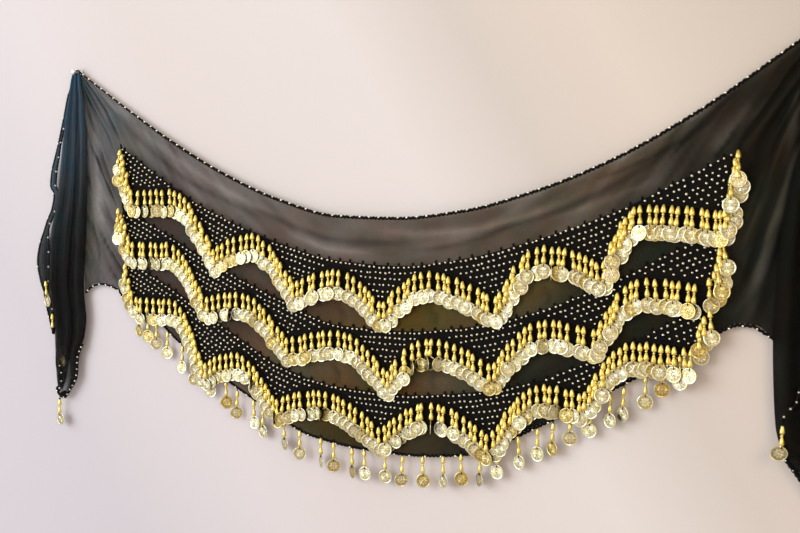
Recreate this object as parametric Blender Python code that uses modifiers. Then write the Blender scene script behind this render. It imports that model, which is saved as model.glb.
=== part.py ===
"""A belly dance hip scarf of black chiffon, hung by its two upper corners on small wall pegs.

Metres, +Z up. The wall is the plane Y = 0 and the scarf hangs in front of it, at Y < 0. The origin is
the middle of the left peg's back face. The tables give places in millimetres as across, to the right
from the left peg, and drop, down from the line of the pegs.
"""

import math
from collections import namedtuple

import bmesh
import bpy
from mathutils import Matrix, Vector

MM = 0.001

# Driving dimensions, in millimetres
PEG_SPAN = 1168        # between the two pegs
CLOTH = 1.4            # cloth wall
SEAM = 0.3             # gap that neighbouring pieces keep
HANG = 7.7             # from the wall to the front of the chiffon, at the pegs
BULGE = 4.0            # how much further out it hangs, halfway between the pegs
BAND = 1.8             # crochet band that carries the beads
BAND_LEFT, BAND_RIGHT = 90, 1046   # ends of the embroidered stretch
BRAID_R = 1.6          # beaded braid of the hems
BRAID_END = 1.0        # a braid that meets the next one stops this far before it
BRAIDED_TIP = 110      # length of a tail's tip that shows its braid
TAIL_WALL = 2.0        # tail cloth, measured front to back through its slanting folds
TAIL_OUT = 11.8        # from the wall to the front of a tail, in the bottom of its folds

SPINDLE = 24           # a gold spindle bead, end to end
SPINDLE_R = 2.8        # half its width, at its two lobes
DROP_REACH = 3.4       # half the depth of a drop that is turned a little
COIN_R = 9.0
COIN_THICK = 1.4
COIN_HANG = 32.5       # from a drop's root to the middle of its coin
DROP = COIN_HANG + COIN_R
ROW_PITCH = 25.0       # between the drops of a row
COLUMN_PITCH = 26.5    # between the drops of a side column
COLUMN_LEAN = math.radians(13)     # each column drop lies over the next one
CORD = 3.6             # black cord that a row of drops is strung on
CORD_TALL = 4.0
COIN_TURNS = (8, -11, 4, -6, 12, 0, -9)   # degrees, over and over along a row

# ---------------------------------------------------------------------------------- tables
Point = namedtuple("Point", "across drop")
TOP_HEM = (
    Point(0, 0), Point(93, 60), Point(193, 121), Point(293, 173), Point(393, 213), Point(493, 237),
    Point(593, 240), Point(693, 230), Point(793, 205), Point(893, 168), Point(993, 116),
    Point(1093, 52), Point(1168, 0),
)
BOTTOM_HEM = (
    Point(76, 353), Point(100, 383), Point(129, 396), Point(156, 401), Point(200, 431),
    Point(293, 485), Point(363, 520), Point(443, 555), Point(533, 566), Point(593, 567),
    Point(693, 557), Point(793, 510), Point(893, 453), Point(943, 424), Point(991, 398),
    Point(1012, 389), Point(1025, 373), Point(1050, 361),
)

# Pleats run out from each peg. The first rays end on the side of the embroidered stretch, at a share of
# the way down it, and the others on the arched hem between that stretch and the tail.
Ray = namedtuple("Ray", "share fold")
SIDE_RAYS = (
    Ray(0.00, 0.0), Ray(0.07, -3.0), Ray(0.14, 1.5), Ray(0.22, -3.5), Ray(0.30, 2.5), Ray(0.38, -4.5),
    Ray(0.46, 2.0), Ray(0.54, -4.0), Ray(0.62, 3.0), Ray(0.70, -3.0), Ray(0.79, 2.0), Ray(0.89, -2.5),
    Ray(1.00, 1.0),
)
Arch = namedtuple("Arch", "across drop fold")
LEFT_ARCH = (Arch(76, 353, -2.0), Arch(57, 342, 1.5), Arch(35, 346, -2.0), Arch(18, 350, 1.5),
             Arch(3, 362, 0.0))
RIGHT_ARCH = (Arch(1067, 364, -2.0), Arch(1087, 377, 1.5), Arch(1112, 384, -2.0),
              Arch(1140, 380, 0.0))
Ring = namedtuple("Ring", "reach fold")
RINGS = (Ring(0.04, 0.20), Ring(0.11, 0.55), Ring(0.21, 0.85), Ring(0.35, 1.0), Ring(0.51, 0.9),
         Ring(0.69, 0.65), Ring(0.86, 0.4), Ring(1.0, 0.2))
FOLD_FADE = 120        # the pleats die out over this stretch of the embroidery
BODY_STEPS = 28

# Upper edges of the three bands, as drops
BandTop = namedtuple("BandTop", "across upper middle lower")
BAND_TOPS = (
    BandTop(90, 128, 226, 307), BandTop(143, 160, 248, 329), BandTop(193, 190, 270, 352),
    BandTop(253, 221, 301, 386), BandTop(323, 250, 330, 423), BandTop(393, 274, 357, 458),
    BandTop(493, 298, 391, 481), BandTop(593, 304, 395, 484), BandTop(693, 292, 385, 474),
    BandTop(793, 266, 360, 451), BandTop(893, 232, 318, 406), BandTop(993, 185, 268, 353),
    BandTop(1046, 157, 248, 330),
)
# The line that the lower rims of the coins follow, from turn to turn
Turn = namedtuple("Turn", "upper_across upper_drop middle_across middle_drop lower_across lower_drop")
TURNS = (
    Turn(90, 236, 90, 318, 96, 407),        # left end
    Turn(190, 236, 180, 318, 183, 407),     # left shelf
    Turn(272, 326, 254, 400, 248, 505),     # first trough
    Turn(345, 303, 323, 392, 313, 484),
    Turn(421, 376, 406, 457, 385, 550),     # second trough
    Turn(493, 353, 493, 441, 463, 530),
    Turn(568, 401, 575, 495, 564, 576),     # third trough
    Turn(645, 353, 643, 444, 643, 533),
    Turn(738, 386, 734, 475, 730, 569),     # fourth trough
    Turn(810, 315, 808, 411, 808, 496),
    Turn(885, 338, 876, 422, 860, 503),     # fifth trough
    Turn(932, 264, 936, 354, 925, 436),     # right shelf
    Turn(1040, 273, 1024, 363, 1007, 444),  # right end
)
STEPS_PER_TURN = 3
BAND_TAIL = 10         # a band ends this far above the coins' lower rims
BAND_APART = 2.0       # least space between two bands, at the low turns
NEAR = 3.0             # sections of a band nearer than this are one
Span = namedtuple("Span", "first last")
ROW_SPANS = {"upper": Span(102, 1023), "middle": Span(102, 1005), "lower": Span(108, 994)}
LEFT_COLUMN = (Point(93, 124), Point(93, 320), Point(96, 352))
RIGHT_COLUMN = (Point(1044, 155), Point(1036, 222), Point(1027, 264), Point(1016, 312), Point(1006, 378))
Hang = namedtuple("Hang", "first last count")
HEM_DROPS = Hang(120, 972, 34)

# Tails: each row is one level, with the two edges and the depth of the folds there
Level = namedtuple("Level", "drop left right fold")
LEFT_TAIL = (
    Level(1.9, -8, 8, 1.5), Level(17, -13, 10, 2.5), Level(44, -19, 15, 4), Level(84, -28, 18, 6),
    Level(120, -35, 19, 7), Level(160, -41, 19, 8), Level(216, -53, 16, 9), Level(263, -67, 12, 9),
    Level(309, -73, 7, 9), Level(355, -77, 3, 9), Level(376, -74, 4, 9), Level(400, -68, 6, 8),
    Level(434, -67, 0, 7), Level(470, -67, -18, 5.5), Level(503, -67, -23, 4), Level(526, -65, -39, 2.5),
    Level(538, -60, -49, 1.0),
)
RIGHT_TAIL = (
    Level(1.9, 1160, 1176, 1.5), Level(20, 1153, 1179, 2.5), Level(55, 1141, 1183, 4),
    Level(120, 1124, 1188, 7), Level(180, 1110, 1191, 9), Level(235, 1099, 1194, 9),
    Level(310, 1091, 1195, 9), Level(383, 1088, 1195, 9), Level(428, 1089, 1193, 8),
    Level(481, 1092, 1188, 7), Level(506, 1098, 1182, 6), Level(540, 1120, 1172, 4),
    Level(566, 1139, 1162, 2.5), Level(579, 1147, 1156, 1.0),
)
Pleat = namedtuple("Pleat", "share rise")
TAIL_PLEATS = (Pleat(0, 0.3), Pleat(0.11, 1.0), Pleat(0.24, 0.0), Pleat(0.36, 0.9), Pleat(0.5, 0.1),
               Pleat(0.63, 1.0), Pleat(0.76, 0.0), Pleat(0.89, 0.8), Pleat(1, 0.2))
SIDE_FOLD = (
    Level(5, -11, -6, 0.5), Level(20, -13, -8, 0.5), Level(37, -21, -15, 0.5), Level(66, -30, -22, 0.8),
    Level(94, -39, -33, 0.8), Level(120, -48, -42, 1), Level(138, -55, -46, 1), Level(160, -63, -52, 1.5),
    Level(184, -67, -55, 1.5), Level(198, -60, -47, 1), Level(223, -66, -56, 1), Level(241, -77, -67, 1),
    Level(260, -86, -76, 1.2), Level(285, -98, -76, 1.5), Level(313, -104, -77, 1.5),
    Level(342, -99, -79, 1.2), Level(362, -92, -80, 0.8), Level(385, -88, -76, 0.8),
    Level(408, -84, -72, 0.8), Level(428, -80, -73, 0.5),
)
SIDE_FOLD_OUT = 9.0
SIDE_PLEATS = (Pleat(0, 0), Pleat(0.35, 1), Pleat(0.7, 0), Pleat(1, 0.6))
KNOT_R = 2.2           # black knot that a single drop hangs from
Single = namedtuple("Single", "across drop out turn")
SINGLES = {
    "left_tip_drop": Single(-61, 543.8, 11.4, 35),
    "left_flap_drop": Single(-85, 341, 13.0, 5),
    "left_edge_drop": Single(-77, 397, 13.6, -14),
    "right_corner_drop": Single(1098, 478, 20.6, 12),
}

STEM_R = 1.5
PEG_PROFILE = (  # radius and distance from the wall
    Point(0, 0), Point(5.5, 0), Point(5.5, 1.4), Point(4.6, 2.2), Point(STEM_R, 2.6),
    Point(STEM_R, 14.8), Point(3.6, 15.2), Point(4.6, 16.6), Point(3.9, 18.0), Point(2.0, 18.8),
    Point(0, 19.0),
)
PEG_SIDES = 12

Finish = namedtuple("Finish", "colour roughness metallic")
CHIFFON = Finish((0.030, 0.030, 0.034), 0.75, 0.0)
CROCHET = Finish((0.012, 0.011, 0.011), 0.85, 0.0)
BRAID = Finish((0.015, 0.014, 0.014), 0.70, 0.0)
GOLD = Finish((0.83, 0.64, 0.22), 0.30, 1.0)
CLEAR = Finish((0.86, 0.88, 0.90), 0.08, 0.0)


# ---------------------------------------------------------------------------------- lines and places
def at(across, drop, out):
    """The world point in metres of a place given in millimetres, out from the wall."""
    return Vector((across, -out, -drop)) * MM


def line_through(knots, across):
    """The smooth line through (across, value) knots, which never passes beyond a knot between two."""
    last = len(knots) - 2
    step = next((k for k in range(last) if across < knots[k + 1][0]), last)
    slopes = [(knots[k + 1][1] - knots[k][1]) / (knots[k + 1][0] - knots[k][0]) for k in range(last + 1)]

    def slope_at(knot):
        if knot in (0, last + 1):
            return slopes[min(knot, last)]
        before, after = slopes[knot - 1], slopes[knot]
        return 2 * before * after / (before + after) if before * after > 0 else 0.0

    (x0, y0), (x1, y1) = knots[step], knots[step + 1]
    wide = x1 - x0
    t = (across - x0) / wide
    return (y0 * (2 * t**3 - 3 * t**2 + 1) + y1 * (3 * t**2 - 2 * t**3)
            + wide * slope_at(step) * (t**3 - 2 * t**2 + t) + wide * slope_at(step + 1) * (t**3 - t**2))


def top_hem(across):
    return line_through(TOP_HEM, across)


def bottom_hem(across):
    return line_through(BOTTOM_HEM, across)


def turns_of(row):
    return [Point(getattr(turn, row + "_across"), getattr(turn, row + "_drop")) for turn in TURNS]


def coin_line(row, across):
    """Drop of the coins' lower rims: pointed in a trough and round on a crest."""
    turns = turns_of(row)
    step = next((k for k in range(len(turns) - 2) if across < turns[k + 1].across), len(turns) - 2)
    here, there = turns[step], turns[step + 1]
    t = (across - here.across) / (there.across - here.across)
    low, high = (here, there) if here.drop > there.drop else (there, here)
    if low is there:
        t = 1 - t
    return low.drop + (high.drop - low.drop) * math.sin(math.pi / 2 * t)


def stations(row):
    """Places across for the sections of a row, a few from each turn to the next."""
    turns = turns_of(row)
    found = [here.across + (there.across - here.across) * k / STEPS_PER_TURN
             for here, there in zip(turns, turns[1:]) for k in range(STEPS_PER_TURN)]
    return found + [turns[-1].across]


def cloth_front(across):
    """How far out the chiffon's front hangs, folds left out."""
    return HANG + BULGE * math.sin(math.pi * min(max(across / PEG_SPAN, 0), 1))


def fold_left(across):
    """Share of a pleat's depth that is left at this place in the embroidered stretch."""
    inside = min(across - BAND_LEFT, BAND_RIGHT - across)
    return RINGS[-1].fold * max(0.0, 1 - inside / FOLD_FADE)


def band_front(across):
    """How far out the front of a band lies. Under it the pleats keep their room."""
    deepest = max(ray.fold for ray in SIDE_RAYS)
    return cloth_front(across) + deepest * fold_left(across) + SEAM + BAND


def drop_out(across):
    """How far out the middle of a drop hangs in front of a band."""
    return band_front(across) + SEAM + DROP_REACH


# ---------------------------------------------------------------------------------- making shapes
def finish(name, look):
    material = bpy.data.materials.new(name)
    material.use_nodes = True
    shader = material.node_tree.nodes["Principled BSDF"]
    shader.inputs["Base Color"].default_value = (*look.colour, 1.0)
    shader.inputs["Roughness"].default_value = look.roughness
    shader.inputs["Metallic"].default_value = look.metallic
    return material


def add_object(name, shape, collection, material, smooth=False):
    """Turns a bmesh into an object of the collection."""
    bmesh.ops.recalc_face_normals(shape, faces=shape.faces[:])
    mesh = bpy.data.meshes.new(name)
    shape.to_mesh(mesh)
    shape.free()
    if smooth:
        mesh.shade_smooth()
    added = bpy.data.objects.new(name, mesh)
    collection.objects.link(added)
    mesh.materials.append(material)
    return added


def lay_grid(shape, across_steps, down_steps, place):
    """Adds a grid to the shape and lays its crossing (i, j) on place(i, j)."""
    made = bmesh.ops.create_grid(shape, x_segments=across_steps, y_segments=down_steps, size=0.5)
    for vert in made["verts"]:
        vert.co = place(round((vert.co.x + 0.5) * across_steps), round((vert.co.y + 0.5) * down_steps))


def thicken(shape, wall):
    """Gives an open sheet a wall, from its front back towards the wall behind it."""
    back = bmesh.ops.extrude_face_region(shape, geom=shape.faces[:])["geom"]
    moved = [item for item in back if isinstance(item, bmesh.types.BMVert)]
    bmesh.ops.translate(shape, verts=moved, vec=(0, wall * MM, 0))


def add_tube(name, route, radius, collection, material, sides_step=0):
    """A closed tube along a route of world points, as a mesh."""
    curve = bpy.data.curves.new(name, "CURVE")
    curve.dimensions = "3D"
    curve.bevel_depth = radius * MM
    curve.bevel_resolution = sides_step
    curve.use_fill_caps = True
    spline = curve.splines.new("POLY")
    spline.points.add(len(route) - 1)
    for point, place in zip(spline.points, route):
        point.co = (*place, 1.0)
    guide = bpy.data.objects.new(name, curve)
    collection.objects.link(guide)
    bpy.context.view_layer.update()
    mesh = bpy.data.meshes.new_from_object(guide.evaluated_get(bpy.context.evaluated_depsgraph_get()))
    bpy.data.objects.remove(guide)
    shape = bmesh.new()
    shape.from_mesh(mesh)
    bpy.data.meshes.remove(mesh)
    bmesh.ops.remove_doubles(shape, verts=shape.verts[:], dist=1e-6)
    return add_object(name, shape, collection, material)


def beside(points, away):
    """The points of a line moved sideways by `away` millimetres, to the left of its direction."""
    moved = []
    for k, here in enumerate(points):
        before, after = points[max(k - 1, 0)], points[min(k + 1, len(points) - 1)]
        along = (Vector(after) - Vector(before)).normalized()
        moved.append(Point(here[0] + along.y * away, here[1] - along.x * away))
    return moved


# ---------------------------------------------------------------------------------- chiffon
def fan_targets(side_across, arch):
    """Where each pleat's ray ends, with its fold, from the top hem round to the tail."""
    top, bottom = top_hem(side_across), bottom_hem(side_across)
    side = [Arch(side_across, top + (bottom - top) * ray.share, ray.fold) for ray in SIDE_RAYS]
    return side + list(arch)


def add_chiffon_body(collection, material):
    """The crescent between the pegs: a fan of pleats at each peg and a smooth middle."""
    shape = bmesh.new()
    for peg_across, side_across, arch in ((0, BAND_LEFT, LEFT_ARCH), (PEG_SPAN, BAND_RIGHT, RIGHT_ARCH)):
        targets = fan_targets(side_across, arch)

        def on_fan(ring, ray, peg_across=peg_across, targets=targets):
            reach, target = RINGS[ring], targets[ray]
            across = peg_across + (target.across - peg_across) * reach.reach
            return at(across, target.drop * reach.reach, cloth_front(across) + target.fold * reach.fold)

        lay_grid(shape, len(RINGS) - 1, len(targets) - 1, on_fan)

    def on_middle(step, ray):
        across = BAND_LEFT + (BAND_RIGHT - BAND_LEFT) * step / BODY_STEPS
        top, bottom = top_hem(across), bottom_hem(across)
        out = cloth_front(across) + SIDE_RAYS[ray].fold * fold_left(across)
        return at(across, top + (bottom - top) * SIDE_RAYS[ray].share, out)

    lay_grid(shape, BODY_STEPS, len(SIDE_RAYS) - 1, on_middle)
    bmesh.ops.remove_doubles(shape, verts=shape.verts[:], dist=1e-5)
    thicken(shape, CLOTH)
    add_object("chiffon_body", shape, collection, material)


def add_falling_cloth(name, levels, pleats, out, wall, collection, material):
    """Cloth that falls in upright folds, wide or narrow from level to level."""
    shape = bmesh.new()

    def on_fold(pleat, level):
        row, fold = levels[level], pleats[pleat]
        across = row.left + (row.right - row.left) * fold.share
        return at(across, row.drop, out + row.fold * fold.rise)

    lay_grid(shape, len(pleats) - 1, len(levels) - 1, on_fold)
    thicken(shape, wall)
    add_object(name, shape, collection, material)


# ---------------------------------------------------------------------------------- bands
def band_foot(row, across):
    """Lower edge of a band: above the coins' rims, and never past the hem."""
    return min(coin_line(row, across) - BAND_TAIL, bottom_hem(across) - 1.5)


def add_band(row, above, collection, material):
    """A crochet band. Where the row above hangs low, this band's upper edge starts just under it."""
    places = stations(row)
    if above:
        shared = [across for across in stations(above) if places[0] < across < places[-1]]
        shared = [across for across in shared if min(abs(across - place) for place in places) > NEAR]
        places = sorted(places + shared)
    tops = [Point(top.across, getattr(top, row)) for top in BAND_TOPS]

    def on_band(station, level):
        across = places[station]
        head = line_through(tops, across)
        if above:
            reach = min(max(across, turns_of(above)[0].across), turns_of(above)[-1].across)
            head = max(head, band_foot(above, reach) + BAND_APART)
        foot = max(band_foot(row, across), head + CORD_TALL)
        return at(across, head + (foot - head) * level / 2, band_front(across))

    shape = bmesh.new()
    lay_grid(shape, len(places) - 1, 2, on_band)
    thicken(shape, BAND)
    add_object(row + "_bead_band", shape, collection, material)


# ---------------------------------------------------------------------------------- drops
def sections_of(coin):
    """Half width, half depth and height of a drop's sections: two lobes with a waist, then a flat coin."""
    lobe = SPINDLE_R
    bead = [(0.7, 0.7, 0), (lobe, lobe, -8.0), (1.0, 1.0, -11.5), (lobe, lobe, -SPINDLE + 3.0)]
    if not coin:
        return bead + [(1.0, 1.0, -SPINDLE)]
    flat, rim = COIN_THICK / 2, COIN_R * math.sin(math.radians(60))
    return bead + [(COIN_R / 2, flat, rim - COIN_HANG), (COIN_R, flat, -COIN_HANG),
                   (COIN_R / 2, flat, -rim - COIN_HANG)]


def drop_mesh(coin=True):
    """A square face pulled down through the sections of a drop, its root at the origin."""
    sections = sections_of(coin)
    shape = bmesh.new()
    square = bmesh.ops.create_grid(shape, x_segments=1, y_segments=1, size=0.5)["verts"]
    face = square[0].link_faces[0]
    for number, (wide, deep, height) in enumerate(sections):
        if number:
            face = bmesh.ops.extrude_discrete_faces(shape, faces=[face])["faces"][0]
        for vert in face.verts:
            vert.co = Vector((math.copysign(wide, vert.co.x), math.copysign(deep, vert.co.y), height)) * MM
    open_rim = [edge for edge in shape.edges if edge.is_boundary]
    bmesh.ops.holes_fill(shape, edges=open_rim, sides=4)
    bmesh.ops.recalc_face_normals(shape, faces=shape.faces[:])
    mesh = bpy.data.meshes.new("drop")
    shape.to_mesh(mesh)
    shape.free()
    return mesh


def knot_mesh(down=0.0):
    """A small black knot, at the origin or further down."""
    shape = bmesh.new()
    bmesh.ops.create_uvsphere(shape, u_segments=8, v_segments=5, radius=KNOT_R * MM)
    bmesh.ops.translate(shape, verts=shape.verts[:], vec=(0, 0, -down * MM))
    mesh = bpy.data.meshes.new("knot")
    shape.to_mesh(mesh)
    shape.free()
    return mesh


def add_copies(name, mesh, placings, helpers, material):
    """One helper object that holds a copy of the mesh at each placing."""
    shape = bmesh.new()
    for placing in placings:
        before = len(shape.verts)
        shape.from_mesh(mesh)
        shape.verts.ensure_lookup_table()
        bmesh.ops.transform(shape, matrix=placing, verts=shape.verts[before:])
    helper = add_object(name, shape, helpers, material)
    helper.hide_render = True
    helper.display_type = "WIRE"
    return helper


def fuse(target, helper):
    joined = target.modifiers.new(helper.name, "BOOLEAN")
    joined.operation = "UNION"
    joined.object = helper


def fuse_drops(backing, placings, helpers, material, coin=True):
    """Fuses a drop to the backing at each placing."""
    fuse(backing, add_copies(backing.name + "_drops", drop_mesh(coin), placings, helpers, material))


def placing(place, number, lean=0.0):
    """Where a drop hangs: its root, how far it leans out and how far it is turned."""
    turn = math.radians(COIN_TURNS[number % len(COIN_TURNS)])
    return Matrix.Translation(place) @ Matrix.Rotation(-lean, 4, "X") @ Matrix.Rotation(turn, 4, "Z")


def add_cord(name, route, out, collection, material):
    """A narrow cord of oblong section along a route of (across, drop)."""
    shape = bmesh.new()

    def on_cord(station, level):
        here = route[station]
        return at(here[0], here[1] + (level - 0.5) * CORD_TALL, out(here[0]) + CORD / 2)

    lay_grid(shape, len(route) - 1, 1, on_cord)
    thicken(shape, CORD)
    return add_object(name, shape, collection, material)


def add_coin_row(row, collection, helpers, material):
    """A row of drops along the wave of its band."""
    span = ROW_SPANS[row]
    inner = [place for place in stations(row) if span.first + 2 < place < span.last - 2]
    places = [span.first, *inner, span.last]
    route = [Point(across, coin_line(row, across) - DROP) for across in places]
    cord = add_cord(row + "_coin_row", route, drop_out, collection, material)
    count = round((span.last - span.first) / ROW_PITCH)
    pitch = (span.last - span.first) / count
    hangs = []
    for number in range(count):
        across = span.first + pitch * (number + 0.5)
        step = next(k for k in range(len(route) - 1) if across <= route[k + 1].across)
        share = (across - route[step].across) / (route[step + 1].across - route[step].across)
        drop = route[step].drop + (route[step + 1].drop - route[step].drop) * share
        hangs.append(placing(at(across, drop, drop_out(across)), number))
    fuse_drops(cord, hangs, helpers, material)


def cord_out(across):
    """How far out the middle of a side column's cord lies, on the end of the bands."""
    return band_front(across) + SEAM + CORD / 2


def add_coin_column(name, route, collection, helpers, material):
    """Drops down the end of the bands, each lying over the next."""
    shape = bmesh.new()

    def on_cord(side, level):
        here = route[level]
        return at(here.across + (side - 0.5) * CORD_TALL, here.drop, cord_out(here.across) + CORD / 2)

    lay_grid(shape, 1, len(route) - 1, on_cord)
    thicken(shape, CORD)
    cord = add_object(name, shape, collection, material)
    sideways = [(here.drop, here.across) for here in route]
    first, last = route[0].drop + 3, route[-1].drop - 3
    count = int((last - first) / COLUMN_PITCH) + 1
    hangs = []
    for number in range(count):
        drop = first + COLUMN_PITCH * number
        step = next(k for k in range(len(route) - 1) if drop <= sideways[k + 1][0])
        share = (drop - sideways[step][0]) / (sideways[step + 1][0] - sideways[step][0])
        across = sideways[step][1] + (sideways[step + 1][1] - sideways[step][1]) * share
        hangs.append(placing(at(across, drop, cord_out(across)), number, COLUMN_LEAN))
    fuse_drops(cord, hangs, helpers, material)


def cut_back(points):
    """The points of a braid, with its two ends drawn in so that it stops short of the next braid."""
    first, last = points[0], points[-1]
    return [first + (points[1] - first).normalized() * BRAID_END * MM, *points[1:-1],
            last + (points[-2] - last).normalized() * BRAID_END * MM]


def add_hem_edging(collection, helpers, material, braid_material):
    """The braid of the lower hem: plain along the arch beside each tail, and with single drops between."""
    middle = [BAND_LEFT + (BAND_RIGHT - BAND_LEFT) * k / BODY_STEPS for k in range(BODY_STEPS + 1)]
    hem = [Point(arch.across, arch.drop) for arch in reversed(LEFT_ARCH)]
    hem += [Point(across, bottom_hem(across)) for across in middle]
    hem += [Point(arch.across, arch.drop) for arch in RIGHT_ARCH]
    route = beside(hem, -(SEAM + BRAID_R + 0.3))
    depth = CLOTH / 2
    points = [at(place.across, place.drop, cloth_front(place.across) - depth) for place in route]
    start, end = len(LEFT_ARCH), len(LEFT_ARCH) + BODY_STEPS
    add_tube("left_arch_edging", cut_back(points[:start + 1]), BRAID_R, collection, braid_material)
    add_tube("right_arch_edging", cut_back(points[end:]), BRAID_R, collection, braid_material)
    braid = add_tube("hem_coin_edging", cut_back(points[start:end + 1]), BRAID_R, collection, material)
    hangs = []
    for number in range(HEM_DROPS.count):
        across = HEM_DROPS.first + (HEM_DROPS.last - HEM_DROPS.first) * number / (HEM_DROPS.count - 1)
        step = next(k for k in range(len(route) - 1) if across <= route[k + 1].across)
        share = (across - route[step].across) / (route[step + 1].across - route[step].across)
        drop = route[step].drop + (route[step + 1].drop - route[step].drop) * share
        hangs.append(placing(at(across, drop, cloth_front(across) - depth), number))
    fuse_drops(braid, hangs, helpers, material)


def add_single(name, collection, helpers, material):
    """A drop that hangs by itself from a knot."""
    single = SINGLES[name]
    has_coin = name != "left_edge_drop"
    place = Matrix.Translation(at(single.across, single.drop, single.out))
    turned = place @ Matrix.Rotation(math.radians(single.turn), 4, "Z")
    shape = bmesh.new()
    shape.from_mesh(knot_mesh())
    bmesh.ops.transform(shape, matrix=turned, verts=shape.verts[:])
    knot = add_object(name, shape, collection, material)
    fuse_drops(knot, [turned], helpers, material, coin=has_coin)
    if not has_coin:
        fuse(knot, add_copies(name + "_end", knot_mesh(SPINDLE + 1), [turned], helpers, material))


# ---------------------------------------------------------------------------------- edgings and pegs
def add_top_edging(collection, material):
    """The braid of the upper hem. It crosses over each peg's stem, and the scarf hangs on it."""
    middle = [BAND_LEFT + (BAND_RIGHT - BAND_LEFT) * k / BODY_STEPS for k in range(BODY_STEPS + 1)]
    reach = RINGS[0].reach
    hem = [Point(BAND_LEFT * reach, top_hem(BAND_LEFT) * reach)]
    hem += [Point(across, top_hem(across)) for across in middle]
    hem += [Point(PEG_SPAN + (BAND_RIGHT - PEG_SPAN) * reach, top_hem(BAND_RIGHT) * reach)]
    route = beside(hem, SEAM + BRAID_R)
    over = -(STEM_R + SEAM + BRAID_R)
    route = [Point(-5.0, 1.6), Point(-1.5, over), Point(1.5, over), *route,
             Point(PEG_SPAN - 1.5, over), Point(PEG_SPAN + 1.5, over), Point(PEG_SPAN + 5.0, 1.6)]
    points = [at(place.across, place.drop, cloth_front(place.across) - CLOTH / 2) for place in route]
    add_tube("top_edging", points, BRAID_R, collection, material)


def add_tip_edging(name, levels, collection, material):
    """The braid round the tip of a tail, down its right edge and up its left one."""
    tip = [level for level in levels if level.drop > levels[-1].drop - BRAIDED_TIP]
    right = [(Point(level.right, level.drop), level.fold * TAIL_PLEATS[-1].rise) for level in tip]
    left = [(Point(level.left, level.drop), level.fold * TAIL_PLEATS[0].rise) for level in reversed(tip)]
    edge = right + left
    route = beside([place for place, _ in edge], SEAM + BRAID_R + 0.2)
    points = [at(place.across, place.drop, TAIL_OUT - TAIL_WALL / 2 + fold)
              for place, (_, fold) in zip(route, edge)]
    add_tube(name, points, BRAID_R, collection, material)


def add_peg(name, across, collection, material):
    """A turned peg with a flat foot on the wall and a round head."""
    mesh = bpy.data.meshes.new(name)
    profile = [(point.across * MM, 0, point.drop * MM) for point in reversed(PEG_PROFILE)]
    mesh.from_pydata(profile, [(k, k + 1) for k in range(len(profile) - 1)], [])
    mesh.materials.append(material)
    peg = bpy.data.objects.new(name, mesh)
    collection.objects.link(peg)
    turned = peg.modifiers.new("turned", "SCREW")
    turned.steps = PEG_SIDES
    turned.render_steps = PEG_SIDES
    turned.use_merge_vertices = True
    turned.merge_threshold = 0.0001
    peg.location = at(across, 0, 0)
    peg.rotation_euler = (math.pi / 2, 0, 0)


# ---------------------------------------------------------------------------------- the scarf
def new_collection(name):
    made = bpy.data.collections.new(name)
    bpy.context.scene.collection.children.link(made)
    return made


def main():
    for old in list(bpy.data.objects):
        bpy.data.objects.remove(old)
    scarf = new_collection("belly_dance_hip_scarf")
    helpers = new_collection("drops_before_joining")
    helpers.hide_render = True
    chiffon, crochet = finish("chiffon", CHIFFON), finish("crochet", CROCHET)
    braid, gold, clear = finish("braid", BRAID), finish("gold", GOLD), finish("clear", CLEAR)

    add_chiffon_body(scarf, chiffon)
    add_falling_cloth("left_tail", LEFT_TAIL, TAIL_PLEATS, TAIL_OUT, TAIL_WALL, scarf, chiffon)
    add_falling_cloth("right_tail", RIGHT_TAIL, TAIL_PLEATS, TAIL_OUT, TAIL_WALL, scarf, chiffon)
    add_falling_cloth("left_side_fold", SIDE_FOLD, SIDE_PLEATS, SIDE_FOLD_OUT, CLOTH, scarf, chiffon)
    for row, above in (("upper", None), ("middle", "upper"), ("lower", "middle")):
        add_band(row, above, scarf, crochet)
        add_coin_row(row, scarf, helpers, gold)
    add_coin_column("left_coin_column", LEFT_COLUMN, scarf, helpers, gold)
    add_coin_column("right_coin_column", RIGHT_COLUMN, scarf, helpers, gold)
    add_hem_edging(scarf, helpers, gold, braid)
    for name in SINGLES:
        add_single(name, scarf, helpers, gold)
    add_top_edging(scarf, braid)
    add_tip_edging("left_tail_edging", LEFT_TAIL, scarf, braid)
    add_tip_edging("right_tail_edging", RIGHT_TAIL, scarf, braid)
    add_peg("left_peg", 0, scarf, clear)
    add_peg("right_peg", PEG_SPAN, scarf, clear)


main()
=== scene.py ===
# %% [markdown]
# # A black chiffon hip scarf with coins, hung on two wall pegs
# The scarf is one crescent of sheer chiffon. Three waved crochet bands, dotted with gold beads, are sewn
# across it, and each wave carries a row of drops: a turned gold bead with a stamped coin under it. The
# CAD frame sets the places and sizes, and the tables here repeat them. This script lays fine cloth,
# crochet, beads and coins over it.

# %% Load the frame
import math
from collections import namedtuple

import bmesh
import bpy
import numpy as np
from mathutils import Matrix, Vector


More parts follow.
